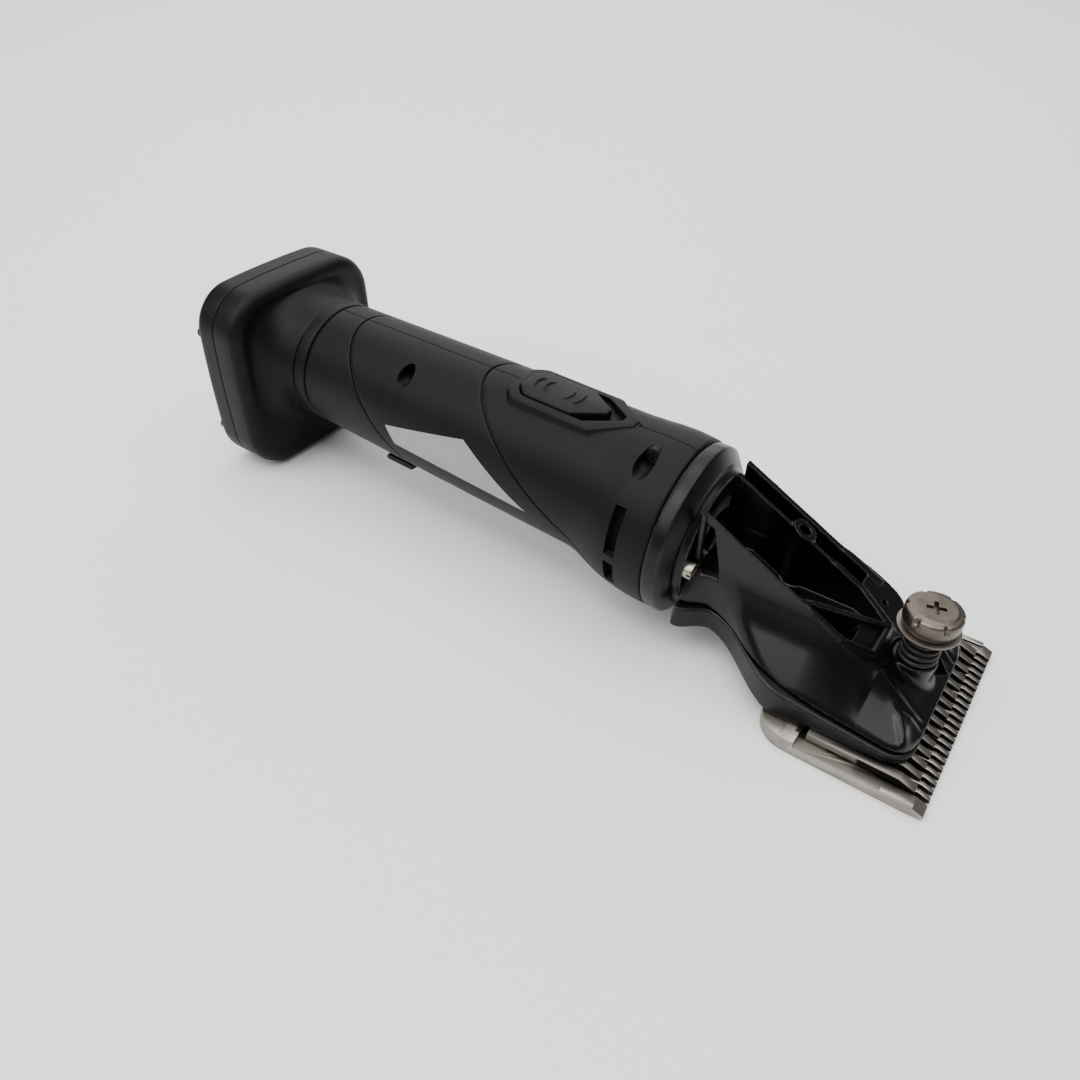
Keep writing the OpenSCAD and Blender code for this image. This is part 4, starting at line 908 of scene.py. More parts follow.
def skin_of(f, low, high, cell):
    """A closed quad skin where the depth function is zero, in head millimetres."""
    axes = [np.arange(low[i], high[i] + cell, cell) for i in range(3)]
    grid = np.meshgrid(*axes, indexing="ij", sparse=True)
    field = np.broadcast_to(f(*grid), tuple(len(a) for a in axes)).astype(np.float32)
    inside = field < 0
    base = np.array([a[0] for a in axes])
    nx, ny, nz = field.shape
    total = np.zeros((nx - 1, ny - 1, nz - 1, 3), np.float32)
    hits = np.zeros((nx - 1, ny - 1, nz - 1), np.int16)
    corners = [(i, j, k) for i in (0, 1) for j in (0, 1) for k in (0, 1)]

    def part(array, c):
        return array[c[0]:c[0] + nx - 1, c[1]:c[1] + ny - 1, c[2]:c[2] + nz - 1]

    for a in corners:
        for axis in range(3):
            if a[axis]:
                continue
            b = tuple(1 if i == axis else a[i] for i in range(3))
            crossed = part(inside, a) != part(inside, b)
            fa, fb = part(field, a)[crossed], part(field, b)[crossed]
            t = fa / (fa - fb)
            hits[crossed] += 1
            for i in range(3):
                total[..., i][crossed] += a[i] + (t if i == axis else 0)
    live = hits > 0
    number = np.full(live.shape, -1, np.int64)
    number[live] = np.arange(live.sum())
    cells = np.argwhere(live)
    verts = base + (cells + total[live] / hits[live][:, None]) * cell
    faces = []
    for axis in range(3):
        # four cells meet round each grid edge that crosses the skin
        u, v = (axis + 1) % 3, (axis + 2) % 3
        first = [slice(1, -1)] * 3
        first[axis] = slice(0, -1)
        second = list(first)
        second[axis] = slice(1, None)
        a, b = inside[tuple(first)], inside[tuple(second)]
        for sign in (True, False):
            hit = np.argwhere((a != b) & (a == sign))
            if not len(hit):
                continue
            spot = hit + 1
            spot[:, axis] -= 1

            def around(du, dv):
                c = spot.copy()
                c[:, u] -= du
                c[:, v] -= dv
                return number[c[:, 0], c[:, 1], c[:, 2]]

            quad = np.stack([around(1, 1), around(0, 1), around(0, 0), around(1, 0)], axis=1)
            faces.append(quad if sign else quad[:, ::-1])
    faces = np.concatenate(faces)
    for _ in range(4):
        # draws the corners onto the true surface, a quarter of a cell at most
        value, slope = depth_and_slope(f, verts, 0.02)
        square = np.maximum((slope ** 2).sum(axis=1), 0.2)
        move = -(value / square)[:, None] * slope
        far = np.linalg.norm(move, axis=1)
        verts = verts + move * np.minimum(1, 0.25 * cell / np.maximum(far, 1e-9))[:, None]
    _, slope = depth_and_slope(f, verts, 0.06)
    normals = slope / np.maximum(np.linalg.norm(slope, axis=1), 1e-9)[:, None]
    return verts, faces, normals


def depth_and_slope(f, p, step):
    """Depth at each place and its slope, taken over a step to each side."""
    x, y, z = p[:, 0], p[:, 1], p[:, 2]
    value = f(x, y, z)
    slope = np.stack([f(x + step, y, z) - f(x - step, y, z), f(x, y + step, z) - f(x, y - step, z),
                      f(x, y, z + step) - f(x, y, z - step)], axis=1) / (2 * step)
    return value, slope


def cast(name, f, low, high, cell, material, replaced):
    """A cast piece from its depth function; x runs back from the tooth tips."""
    verts, faces, normals = skin_of(f, low, high, cell)
    placed = np.column_stack([-verts[:, 0], verts[:, 1], verts[:, 2]]) * 0.001 + head_place
    normals = np.column_stack([-normals[:, 0], normals[:, 1], normals[:, 2]])
    made = piece(name, placed, faces[:, ::-1])
    made.data.normals_split_custom_set_from_vertices([tuple(n) for n in normals])
    finish_piece(made, material, "handle", replaced)


def ease_step(t):
    """0 to 1 with level ends."""
    t = np.clip(t, 0, 1)
    return 0.5 - 0.5 * np.cos(np.pi * t)


def head_half(s, full, full_end, waist, waist_at, rear):
    """Half width of the plan, s back from the tooth tips."""
    corner = 8.0
    bite = np.clip(8.5 + corner - s, 0, corner)
    front = full - 1.8 * np.maximum(0, 1 - s / full_end) - (corner - np.sqrt(corner ** 2 - bite ** 2))
    middle = full - (full - waist) * ease_step((s - full_end) / (waist_at - full_end))
    back = waist + (rear - waist) * ease_step((s - waist_at) / (87.0 - waist_at))
    return np.where(s < full_end, front, np.where(s < waist_at, middle, back))


def head_side(s, y, full, full_end, waist, waist_at, rear):
    """Sideways distance outside the plan, near true distance."""
    half = head_half(s, full, full_end, waist, waist_at, rear)
    lean = (head_half(s + 0.4, full, full_end, waist, waist_at, rear)
            - head_half(s - 0.4, full, full_end, waist, waist_at, rear)) / 0.8
    return (np.abs(y) - half) / np.sqrt(1 + np.clip(lean, -3, 3) ** 2)


part_line = np.array([[0, 8.9], [8.5, 9.3], [22, 11.0], [36, 12.8], [48, 14.8], [58, 17.0], [66, 18.7],
                      [74, 20.0], [84, 21.6], [98, 24.1], [110, 26.0]])


def part_height(s):
    """Height of the line where the two castings meet, an easy curve over the waist."""
    return sum(np.interp(s + d, part_line[:, 0], part_line[:, 1]) for d in (-5, -3, -1, 1, 3, 5)) / 6


def both(*depths):
    """The room that lies inside every one of several depths."""
    most = depths[0]
    for depth in depths[1:]:
        most = np.maximum(most, depth)
    return most


def block(s, y, z, low, high):
    """Distance outside a box given by two corners."""
    return both(low[0] - s, s - high[0], low[1] - y, y - high[1], low[2] - z, z - high[2])


def beside(s, y, a, b):
    """Signed distance from the line through a and b in plan, positive on its left."""
    dx, dy = b[0] - a[0], b[1] - a[1]
    n = math.hypot(dx, dy)
    return ((y - a[1]) * dx - (s - a[0]) * dy) / n


def plan_area(s, y, corners):
    """Distance outside a convex area whose corners run anticlockwise in (s, y)."""
    return both(*[-beside(s, y, a, b) for a, b in zip(corners, corners[1:] + corners[:1])])


def rib_height(s):
    """Height of the ribs' tops, which climb in a straight line to the collar."""
    return 25.2 + 32.2 * (s - 28.0) / 62.0


# heights of the skirt, rear and front, against the distance from the middle
body_top = 36.6
flank_rear = np.array([[0, body_top], [16.0, body_top], [16.4, 35.8], [17.3, 33.6], [18.6, 30.4],
                       [20.0, 27.4], [21.3, 25.4], [23.6, 22.4], [26.2, 19.0], [29.0, 15.3],
                       [31.2, 12.2], [34, 8]])
flank_front = np.array([[0, 25.4], [10.6, 25.4], [11.6, 24.9], [13.0, 23.6], [14.6, 22.4], [17, 20.9],
                        [20, 19.0], [23, 17.1], [26, 15.1], [29, 13.1], [31.2, 11.6], [34, 9.6]])
flank_y = np.linspace(0, 34, 171)


def smoothed(points):
    """A line through the points with its corners eased."""
    line = np.interp(flank_y, points[:, 0], points[:, 1])
    for _ in range(8):
        line[1:-1] = 0.25 * line[:-2] + 0.5 * line[1:-1] + 0.25 * line[2:]
    return line


flank_rear_line, flank_front_line = smoothed(flank_rear), smoothed(flank_front)


def skirt_height(s, y):
    """Height of the skirt, blended from its front line to its rear one."""
    side = np.abs(y) + 0 * s
    rear = np.interp(side, flank_y, flank_rear_line)
    front = np.interp(side, flank_y, flank_front_line)
    t = (s - 26.0) / 20.0
    blend = np.where(t > 0, np.clip(t, 0, 1) * (2 - np.clip(t, 0, 1)), np.clip(t, -0.8, 0) * 0.9)
    return front + (rear - front) * blend


def collar_side(s, z):
    """Distance in front of the collar's face, towards the rear."""
    lean = math.radians(2.1)
    return (s - 98.0) * math.cos(lean) + (z - 37.8) * math.sin(lean) + 11.0


rib_middle, rib_inner = 15.6, 15.0
bolt_back, post_back, boss_back, boss_out = 19.0, 58.0, 62.0, 8.3
lever_room, head_front = 12.5, 8.5
rib_end, shelf_corner, apex = (37.6, -15.6), (28.7, -11.0), (29.6, 2.4)


def upper_casting(s, y, z):
    """Depth outside the upper casting; negative inside it."""
    side = head_side(s, y, 30.7, 47.0, 17.4, 79.0, 21.6)
    gap = part_height(s) - z
    split = np.where(side > -1.9, gap + 0.5, gap)
    skirt = (z - skirt_height(s, y)) * 0.74
    front_top = 10.8 + 14.4 * np.clip((s - 8.5) / 19.5, 0, 3) ** 1.12
    front_face = (z - front_top) * 0.8
    hip = np.clip((28.5 - s) / 3, 0, 1) * np.clip((s - 9) / 4, 0, 1)
    apart = front_face - skirt
    bead = hip * (1.05 * np.exp(-((apart + 0.2) / 0.8) ** 2) - 0.35 * np.exp(-((apart - 1.9) / 0.9) ** 2))
    body = soft_max(skirt, front_face, 1.0) - bead
    body = soft_max(body, side, 2.4)
    rib_top = (z - rib_height(s)) * 0.88
    body = both(body, head_front + 0.1 - s, z - body_top, rib_top)
    # near side wall and its rib, straight and then turned inwards round the shelf
    near_wall = both(np.abs(y + rib_middle) - 0.62, rib_top, 22.0 - z, rib_end[0] - s, s - 86.0)
    front_wall = both(np.abs(beside(s, y, rib_end, shelf_corner)) - 0.6, rib_top, 18 - z,
                      s - rib_end[0] - 0.3, shelf_corner[0] - 0.3 - s)
    cross_front = both(np.abs(s - 29.1) - 0.6, z - 25.7, 18 - z, -11.4 - y, y - 3.2)
    ledge = both(block(s, y, z, (58.0, -15.2, 22.0), (84.5, -14.3, 90.0)), rib_top + 1.3)
    rear_flange = both(block(s, y, z, (84.6, -17.1, 24.0), (86.2, -14.4, 90.0)), rib_top + 0.2)
    # far side: outer rib, slot and inner rib with its boss
    far_outer = both(np.abs(y - 15.1) - 1.1, rib_top, 22.0 - z, 37.0 - s, s - 90.0)
    bend = beside(s, y, (41.0, 7.2), (apex[0], apex[1] + 1.0))
    far_inner = both(np.where(s > 41.0, np.abs(y - 7.2), np.abs(bend)) - 0.8, rib_top, 22.0 - z, 29.0 - s)
    cross_wall = both(np.abs(beside(s, y, (52.0, -15.0), apex)) - 0.55, rib_top, 16.0 - z,
                      -rib_middle - y, y - apex[1] - 0.4)
    boss_at = np.sqrt((s - boss_back) ** 2 + (y - boss_out) ** 2)
    boss = both(boss_at - 3.7, z - rib_height(s + 1.5) - 0.2, 22.0 - z)
    # deep channel, shelf pocket and far slot
    channel = plan_area(s, y, [(100, -rib_inner), (100, 6.4), (41.0, 6.4), (30.9, 2.2), (52.9, -rib_inner)])
    floor = np.where(s > 76, 29.8, 23.5 + np.clip((s - 64) / 12, 0, 1) * 6.3)
    channel = both(channel, floor - z)
    shelf = plan_area(s, y, [(29.8, 1.5), (29.8, -10.9), (38.2, -rib_inner), (51.1, -rib_inner)])
    shelf = both(shelf, rib_height(s) - 1.9 - np.clip((s - 36.0) / 5, 0, 1) * 9.0 - z)
    slot = both(block(s, y, z, (41.5, 8.2, 27.2), (120.0, 14.0, 90.0)), 4.1 - boss_at)
    walls = near_wall
    for wall_part in (front_wall, far_outer, far_inner, cross_front, cross_wall, ledge, rear_flange):
        walls = np.minimum(walls, wall_part)
    # the wall steps in behind the flange, where the collar's screw stands
    bay = both(block(s, y, z, (70.0, -40.0, 33.0), (84.5, -14.4, 90.0)), rib_top + 2.6,
               83.0 - (rib_height(84.0) - z) * 0.26 - s)
    shape = soft_max(body, -channel, 0.6)
    shape = soft_max(shape, -shelf, 0.5)
    shape = soft_max(shape, -slot, 0.6)
    shape = soft_min(shape, walls, 1.1)
    shape = soft_max(shape, -bay, 0.5)
    shape = soft_min(shape, boss, 1.0)
    # seat of the tension screw, its recess and the window in front of it
    from_bolt = np.sqrt((s - bolt_back) ** 2 + y ** 2)
    shape = soft_min(shape, both(from_bolt - 6.3, z - 21.6, 12 - z), 2.2)
    shape = soft_max(shape, -both(from_bolt - 7.2, 21.6 - z), 0.5)
    shape = both(shape, -(from_bolt - 2.7))
    window = plan_area(s, y, [(13.7, 12.6), (9.4, 9.6), (13.7, 3.2)])
    shape = soft_max(shape, -window, 0.4)
    pin_hole = np.sqrt((s - 33.5) ** 2 + (y - 9.5) ** 2) - 0.9
    shape = soft_max(shape, -both(pin_hole, 16 - z), 0.3)
    shape = soft_max(shape, -both(boss_at - 1.8, rib_height(boss_back) - 9 - z), 0.3)
    # room for the lever and the crank, opening downwards
    room_top = np.interp(s + 0 * y, [12, 28, 58, 66, 76, 110], [13.2, 15.2, 21.0, 21.0, 28.0, 28.0])
    room_top = np.minimum(room_top, front_top - 1.6)
    shape = both(shape, -both(np.abs(y) - lever_room, z - room_top, 13.0 - s))
    for at in (-19.5, 19.5):
        head = np.sqrt((y - at) ** 2 + (z - 35.3) ** 2) - 3.3
        shape = both(shape, -both(head, 81.5 - s))
    shape = soft_max(shape, split, 0.5)
    return both(shape, collar_side(s, z) + 0.05)


# its lighter edge colour also stands as painted highlight along the rib tops
gloss_black = enamel("gloss_black_enamel", rgb(0.0009, 0.00088, 0.00085), rgb(0.0017, 0.0016, 0.0015), 0.21,
                     0.00005, rgb(0.05, 0.049, 0.046), 0.55, coat=0.12)
cell = 0.52
cast("head_upper_casting", upper_casting, (6.0, -32.0, 7.5), (92.0, 32.0, 59.5), cell, gloss_black,
     ("head_housing",))


def lower_casting(s, y, z):
    """Depth outside the lower casting; negative inside it."""
    top = z - part_height(s) + 0.08
    side = head_side(s, y, 31.9, 48.0, 18.2, 77.0, 24.6)
    under = np.interp(s + 0 * y, [0, 38, 38.01, 50, 62, 76, 98], [6.8, 6.8, 5.2, 5.2, 8.6, 12.6, 15.0])
    low = (under - z) * np.where(s > 50, 0.95, 1.0)
    shape = soft_max(top, side, 0.9)
    shape = soft_max(shape, low, 1.0)
    shape = both(shape, head_front - s)
    floor = np.interp(s + 0 * y, [12, 31, 44, 62, 98], [9.0, 9.0, 8.0, 11.0, 20.12])
    shape = both(shape, -both(np.abs(y) - lever_room, floor - z, 12.0 - s))
    from_post = np.sqrt((s - post_back) ** 2 + y ** 2)
    shape = np.minimum(shape, both(from_post - 5.5, z - 11.5, 7.8 - z))
    shape = both(shape, -(from_post - 3.0))
    shape = soft_max(shape, -both(np.abs(s - bolt_back) - 3.5, np.abs(y) - 6.0), 0.4)
    for at in (-19.0, 19.0):
        from_screw = np.sqrt((s - 45.0) ** 2 + (y - at) ** 2)
        shape = both(shape, -both(from_screw - 2.0, z - 11.0))
    return both(shape, collar_side(s, z) + 0.05)


skirt_black = enamel("satin_black_enamel", rgb(0.0015, 0.0015, 0.0015), rgb(0.0026, 0.0025, 0.0024), 0.25,
                     0.00005, rgb(0.12, 0.117, 0.113), 0.45, coat=0.05)
cast("head_lower_casting", lower_casting, (6.0, -35.0, 3.5), (94.0, 35.0, 26.0), cell, skirt_black,
     ("head_base",))

# ---------------------------------------------------------------- blades
# Fine comb and cutter of hardened tool steel, hollow-ground and lapped, with painted
# shade on the tooth flanks and on the comb's floor beside the cutter. The cutter slides
# across the comb under the tension spring; two countersunk screws hold the comb under the lower casting.


def ground_steel(name, light, dark, rough, floor_from, floor_to, floor_side):
    """Surface-ground steel with faint stains, its tooth flanks and the floor beside them darkened as
    painted shade.
    """
    f = Finish(name, Metallic=1.0)
    lines = f.noise(5200, 3, 0.65, (1, 0.02, 0.6))
    oil = f.noise(130, 5, 0.62)
    spots = f.noise(900, 3, 0.7).over(0.62, 0.76)
    tone = f.colours(oil.over(0.35, 0.72), light, dark)
    tone = f.colours(spots * 0.5, tone, rgb(0.12, 0.095, 0.075))
    tone = f.colours(f.edges(0.52, 0.58) * 0.4, tone, rgb(0.44, 0.41, 0.37))

    def part(vector, axis):
        return f.node("ShaderNodeSeparateXYZ", None, {"Vector": vector}, output=axis)

    facing = f.node("ShaderNodeNewGeometry", output="Normal")
    sideways = part(facing, "Y")
    sideways = sideways * sideways
    upward = part(facing, "Z").over(0.6, 0.9)
    back = tip - part(f.place(), "X")
    out = part(f.place(), "Y")
    out = out * out
    in_front = 1 - back.over(0.0205, 0.0225)
    # painted shade: faces turned sideways near the tooth tips are darkened, standing in for the shade
    # between the teeth
    painted_flank_shade = sideways.over(0.25, 0.6) * (1 - out.over(0.0366 ** 2, 0.0372 ** 2)) * in_front
    # painted shade: upward faces in a band beside the comb's edge are darkened, standing in for the shade
    # between cutter and comb
    painted_floor_shade = upward * back.over(floor_from, floor_from + 0.0015)
    painted_floor_shade = painted_floor_shade * (1 - back.over(floor_to, floor_to + 0.0008))
    painted_floor_shade = painted_floor_shade * out.over(floor_side ** 2, (floor_side + 0.001) ** 2)
    painted_floor_shade = painted_floor_shade * (1 - out.over(0.0328 ** 2, 0.0338 ** 2))
    shade = (painted_flank_shade * 0.93 + painted_floor_shade * 0.86).over(0.0, 1.0)
    f.set("Base Color", f.colours(shade, tone, rgb(0.012, 0.0105, 0.009)))
    f.set("Roughness", rough + oil * 0.14 + lines * 0.08 + shade * 0.2)
    f.set("Normal", f.relief(lines, 0.00003, 0.4))
    return f.material


comb_steel = ground_steel("ground_comb_steel", rgb(0.27, 0.245, 0.22), rgb(0.17, 0.152, 0.135), 0.26,
                          0.0125, 0.0395, 0.022)
cutter_steel = ground_steel("ground_cutter_steel", rgb(0.085, 0.077, 0.068), rgb(0.05, 0.045, 0.04), 0.3,
                            0.09, 0.091, 0.026)
refined("comb", "comb_blade", 0.16, "handle", comb_steel, angle=30, sharp=32)
refined("cutter", "cutter_blade", 0.12, "cutter", cutter_steel, angle=30, sharp=32)
refined("comb_screw_pair", "comb_screws", 0.15, "handle", nickel)

# ---------------------------------------------------------------- tension screw
# Screwed stud with a knurled nickel nut, a thin washer and a stiff coil spring of
# oil-black wire under it. The spring presses the lever and the cutter on the comb.
knob_low, knob_high = (np.array(c) * 1000 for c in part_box("tension_knob"))
knob_at = ((knob_low + knob_high) / 2)[:2]
washer_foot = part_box("tension_washer")[0][2] * 1000
spring_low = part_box("tension_spring")[0][2] * 1000


def upright(profile, count, at, wave=None):
    """Turns (radius, height) pairs about an upright line; wave reshapes each ring."""
    angle = np.arange(count) * 2 * math.pi / count
    rings = []
    for r, z in profile:
        reach = np.full(count, float(r)) if wave is None else wave(r, z, angle)
        rings.append(np.column_stack([at[0] + reach * np.cos(angle), at[1] + reach * np.sin(angle),
                                      np.full(count, z)]) * 0.001)
    return stack(rings, capped=True)


base = knob_low[2]
notches, notch_from, notch_to = 6, base + 4.3, base + 6.62


def knob_wave(r, z, angle):
    """Six click notches across the upper rim of the nut."""
    if r < 6.6 or z < notch_from or z > notch_to:
        return np.full(len(angle), float(r))
    turn = (angle * notches / (2 * math.pi) + 0.35) % 1.0
    bite = np.clip(1.25 - np.abs(turn - 0.5) / 0.085, 0, 1)
    depth = np.clip((z - base - 4.3) / 0.5, 0, 1)
    return r - 0.8 * bite * depth


side, knob_height = 8.3, 7.0
knob_profile = [(3.4, 0.0), (7.0, 0.0), (7.5, 0.1), (7.75, 0.36), (7.82, 0.9), (7.9, 1.5), (8.0, 1.75),
                (8.1, 1.95), (8.22, 2.2), (side, 2.8), (side, 4.3), (side, 4.8), (side, 5.3), (8.24, 5.75),
                (8.12, 6.1), (7.9, 6.36), (7.5, 6.56), (7.1, 6.66), (6.75, 6.7), (6.5, 6.74), (6.3, 6.9),
                (6.05, 6.98), (5.7, 7.0), (4.6, 7.0), (3.4, 7.0), (0.05, 7.0)]
verts, faces = upright([(r, base + z) for r, z in knob_profile], 168, knob_at, knob_wave)
knob_nickel = Finish("worn_nickel", Metallic=1.0)
haze = knob_nickel.noise(240, 4, 0.65)
pits = knob_nickel.noise(1500, 4, 0.7)
turning = knob_nickel.noise(6500, 2, 0.6, (1, 1, 0.3))
knob_tone = knob_nickel.colours(haze.over(0.3, 0.75), rgb(0.15, 0.129, 0.106), rgb(0.1, 0.083, 0.067))
knob_nickel.set("Base Color", knob_nickel.colours(pits.over(0.6, 0.74) * 0.65, knob_tone,
                                                  rgb(0.08, 0.06, 0.047)))
knob_nickel.set("Roughness", 0.26 + haze * 0.2 + turning * 0.06)
knob_nickel.set("Normal", knob_nickel.relief(pits * 0.6 + turning * 0.4, 0.00005, 0.5))
knob = piece("tension_nut", verts, faces)
cross = bmesh.new()
for turned in (0.3, 0.3 + math.pi / 2):
    made = bmesh.ops.create_cube(cross, size=1.0)
    spin = Matrix.Rotation(turned, 4, "Z")
    bmesh.ops.scale(cross, verts=made["verts"], vec=(0.0056, 0.0013, 0.0026))
    bmesh.ops.transform(cross, verts=made["verts"], matrix=Matrix.Translation(
        (knob_at[0] * 0.001, knob_at[1] * 0.001, (base + knob_height) * 0.001)) @ spin)
cut_away(knob, shaped("cross", cross), crossing=True)
finish_piece(knob, knob_nickel.material, "knob", ("tension_knob",), sharp=34)

washer_profile = [(3.1, 0.0), (8.7, 0.0), (9.0, 0.1), (9.1, 0.3), (9.1, 0.6), (9.0, 0.8), (8.7, 0.88),
                  (3.1, 0.88)]
washer_nickel = turned_metal("dull_nickel_washer", rgb(0.21, 0.19, 0.165), rgb(0.13, 0.115, 0.1), 0.3)
washer = piece("tension_washer_plate",
               *upright([(r, washer_foot + z) for r, z in washer_profile], 96, knob_at))
finish_piece(washer, washer_nickel, "washer", ("tension_washer",), sharp=40)


def coil_wire(low, high, turns, coil_r, wire_r):
    """A helical wire about the bolt, between two heights, with its end turns closed."""
    rounds, sides = 300, 14
    t = np.linspace(0, 1, rounds)
    climb = np.clip((t * turns - 0.75) / (turns - 1.5), 0, 1)
    height = low + (high - low) * climb + wire_r * 0.15 * np.sin(t * math.pi)
    around = t * turns * 2 * math.pi
    centre = np.column_stack([knob_at[0] + coil_r * np.cos(around), knob_at[1] + coil_r * np.sin(around),
                              height])
    run = np.gradient(centre, axis=0)
    run /= np.linalg.norm(run, axis=1)[:, None]
    outer = np.column_stack([np.cos(around), np.sin(around), np.zeros(rounds)])
    over = np.cross(run, outer)
    angle = np.arange(sides) * 2 * math.pi / sides
    rings = []
    for k in range(rounds):
        thin = 0.72 if k in (0, rounds - 1) else 1.0
        spokes = np.cos(angle)[:, None] * outer[k] + np.sin(angle)[:, None] * over[k]
        rings.append((centre[k] + thin * wire_r * spokes) * 0.001)
    return stack(rings, capped=True)


wire_r = 0.85
spring_black = turned_metal("oil_black_spring_wire", rgb(0.03, 0.028, 0.026), rgb(0.016, 0.015, 0.014),
                            0.34, 4000.0, 0.75)
spring = piece("tension_coil", *coil_wire(spring_low + wire_r, washer_foot - wire_r, turns=5.6,
                                          coil_r=4.95, wire_r=wire_r))
finish_piece(spring, spring_black, "handle", ("tension_spring",))
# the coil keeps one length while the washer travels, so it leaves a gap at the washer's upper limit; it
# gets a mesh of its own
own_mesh(spring)
dress("tension_bolt", nickel)

# ---------------------------------------------------------------- latch
# The battery latch: a sprung lever of satin black plastic under the rear of the
# grip, turning on a steel pin, with a plain pad for the finger.
refined("latch_trigger", "latch_lever", 0.45, "latch", slider_black, angle=30,
        segments=3)

# ---------------------------------------------------------------- battery pack
# Two shells of the same black plastic round three cells, screwed from the back. The
# front shell draws in to a round neck and a stem that slides into the handle.
pack_back = float(cad_box[0][0]) * 1000
pack_low, pack_high = (np.array(c) * 1000 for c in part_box("battery_rear_shell"))
pack_width = pack_high[1] - pack_low[1]
pack_height = float(pack_high[2])
pack_middle = pack_height / 2
pack_thick, pack_wall = 23.0, 2.1
pack_count = 192
pack_angle = np.arange(pack_count) * 2 * math.pi / pack_count


def pack_ring():
    """Outline of the slab: large corners, sides and top faintly crowned."""
    half_w, half_h, corner, crown = pack_width / 2, pack_height / 2, 15.5, 1.7
    direction = np.column_stack([np.sin(pack_angle), np.cos(pack_angle)])
    line = []
    for d in direction:
        # walks out along the ray until the rounded rectangle's edge
        low, high = 0.0, 80.0
        for _ in range(34):
            mid = (low + high) / 2
            q = np.abs(d * mid) - np.array([half_w - corner, half_h - corner])
            out = np.linalg.norm(np.maximum(q, 0)) + min(max(q[0], q[1]), 0) - corner
            low, high = (mid, high) if out < 0 else (low, mid)
        line.append(low)
    line = np.array(line)
    across = np.abs(direction[:, 0]) * line / half_w
    upward = np.abs(direction[:, 1]) * line / half_h
    line = line - crown * (across ** 2.2 * upward ** 6 + upward ** 2.2 * across ** 6)
    return direction * line[:, None]


pack_outline = pack_ring()
pack_normal = normals_out(pack_outline)


def slab_ring(depth, inset):
    """The slab's outline, depth in from its back, drawn in by inset."""
    flat = pack_outline - pack_normal * inset
    return np.column_stack([np.full(pack_count, pack_back + depth), flat[:, 0], flat[:, 1] + pack_middle])


def quarter(radius, steps):
    """(along, inwards) pairs of a rounded rim, from the side to the face."""
    return [(radius * math.sin(a), radius * (1 - math.cos(a)))
            for a in [math.pi / 2 * k / steps for k in range(steps + 1)]]


def round_ring(x, reach, middle):
    """A ring facing rearwards at x, reach out from the line y = 0, z = middle."""
    return np.column_stack([np.full(pack_count, x), reach * np.sin(pack_angle),
                            middle + reach * np.cos(pack_angle)])


pack_black = grained_black("satin_black_pack", rgb(0.0017, 0.0019, 0.0024), rgb(0.0028, 0.0032, 0.0039),
                           0.4, 3200.0, 0.00007)
rim = 4.6
rings = []
centre_line = round_ring(pack_back, 0.0, pack_middle)
flat_back = slab_ring(0.0, rim)
for share in (0.02, 0.12, 0.3, 0.5, 0.7, 0.86, 0.95):
    rings.append(centre_line + (flat_back - centre_line) * share)
for along, inwards in reversed(quarter(rim, 10)):
    rings.append(slab_ring(rim - along, inwards))
for depth, inset in ((6.5, 0.0), (8.6, 0.0), (10.2, 0.0), (10.62, 0.03), (10.84, 0.16), (10.93, 0.42),
                     (10.95, 0.9), (10.95, pack_wall), (2.6, pack_wall)):
    rings.append(slab_ring(depth, inset))
inner_back = slab_ring(pack_wall, 4.5)
for share in (1.0, 0.6, 0.3, 0.02):
    shrunk = centre_line + (inner_back - centre_line) * share
    shrunk[:, 0] = pack_back + pack_wall
    rings.append(shrunk)
rear_shell = piece("battery_rear_moulding", *stack([r * 0.001 for r in rings], capped=True))
wells = bmesh.new()
for screw_y in (-32.5, 32.5):
    for screw_z in (pack_height * 0.23, pack_height * 0.77):
        bmesh.ops.create_cone(wells, cap_ends=True, segments=40, radius1=0.0029, radius2=0.0026,
                              depth=0.0046, matrix=Matrix.Translation(
                                  (pack_back * 0.001, screw_y * 0.001, screw_z * 0.001))
                              @ Matrix.Rotation(math.pi / 2, 4, "Y"))
cut_away(rear_shell, shaped("wells", wells))
finish_piece(rear_shell, pack_black, "battery", ("battery_rear_shell",), sharp=40)


def neck_ring(along, reach):
    """A ring round the handle's line, along mm behind its front."""
    return on_handle(round_ring(-along, reach, 0.0)) * 1000


def reach_to(line, angle):
    """How far a closed outline lies from (0, 0), in the direction of angle."""
    d = np.array([math.sin(angle), math.cos(angle)])
    best = 99.0
    for a, b in zip(line, np.roll(line, -1, axis=0)):
        e = b - a
        crossed = d[0] * e[1] - d[1] * e[0]
        if abs(crossed) < 1e-9:
            continue
        ahead = (a[0] * e[1] - a[1] * e[0]) / crossed
        share = (a[0] * d[1] - a[1] * d[0]) / crossed
        if ahead > 0 and -1e-6 <= share <= 1 + 1e-6:
            best = min(best, ahead)
    return best


neck_end, neck_top, bore_r = 150.3, 23.35, 14.6
neck_foot_z = float(neck_ring(170.0, 0.01)[:, 2].mean())
rim_line = pack_outline - pack_normal * 4.4 + np.array([0.0, pack_middle - neck_foot_z])
rim_reach = np.array([reach_to(rim_line, turned) for turned in pack_angle])
foot = soft_min(np.full(pack_count, 33.5), rim_reach - 0.6, 4.0)
rings = []
for depth, inset in ((18.0, pack_wall), (11.1, pack_wall), (11.1, 0.9), (11.13, 0.42), (11.22, 0.16),
                     (11.44, 0.03), (11.9, 0.0), (13.5, 0.0), (15.6, 0.0)):
    rings.append(slab_ring(depth, inset))
for along, inwards in quarter(rim, 10)[1:]:
    rings.append(slab_ring(pack_thick - rim + along, inwards))
face_edge = rings[-1]
face_x = pack_back + pack_thick
foot_ring = round_ring(face_x, foot, neck_foot_z)
for share in (0.12, 0.3, 0.55, 0.8):
    mixed = face_edge + (foot_ring - face_edge) * share
    mixed[:, 0] = face_x
    rings.append(mixed)
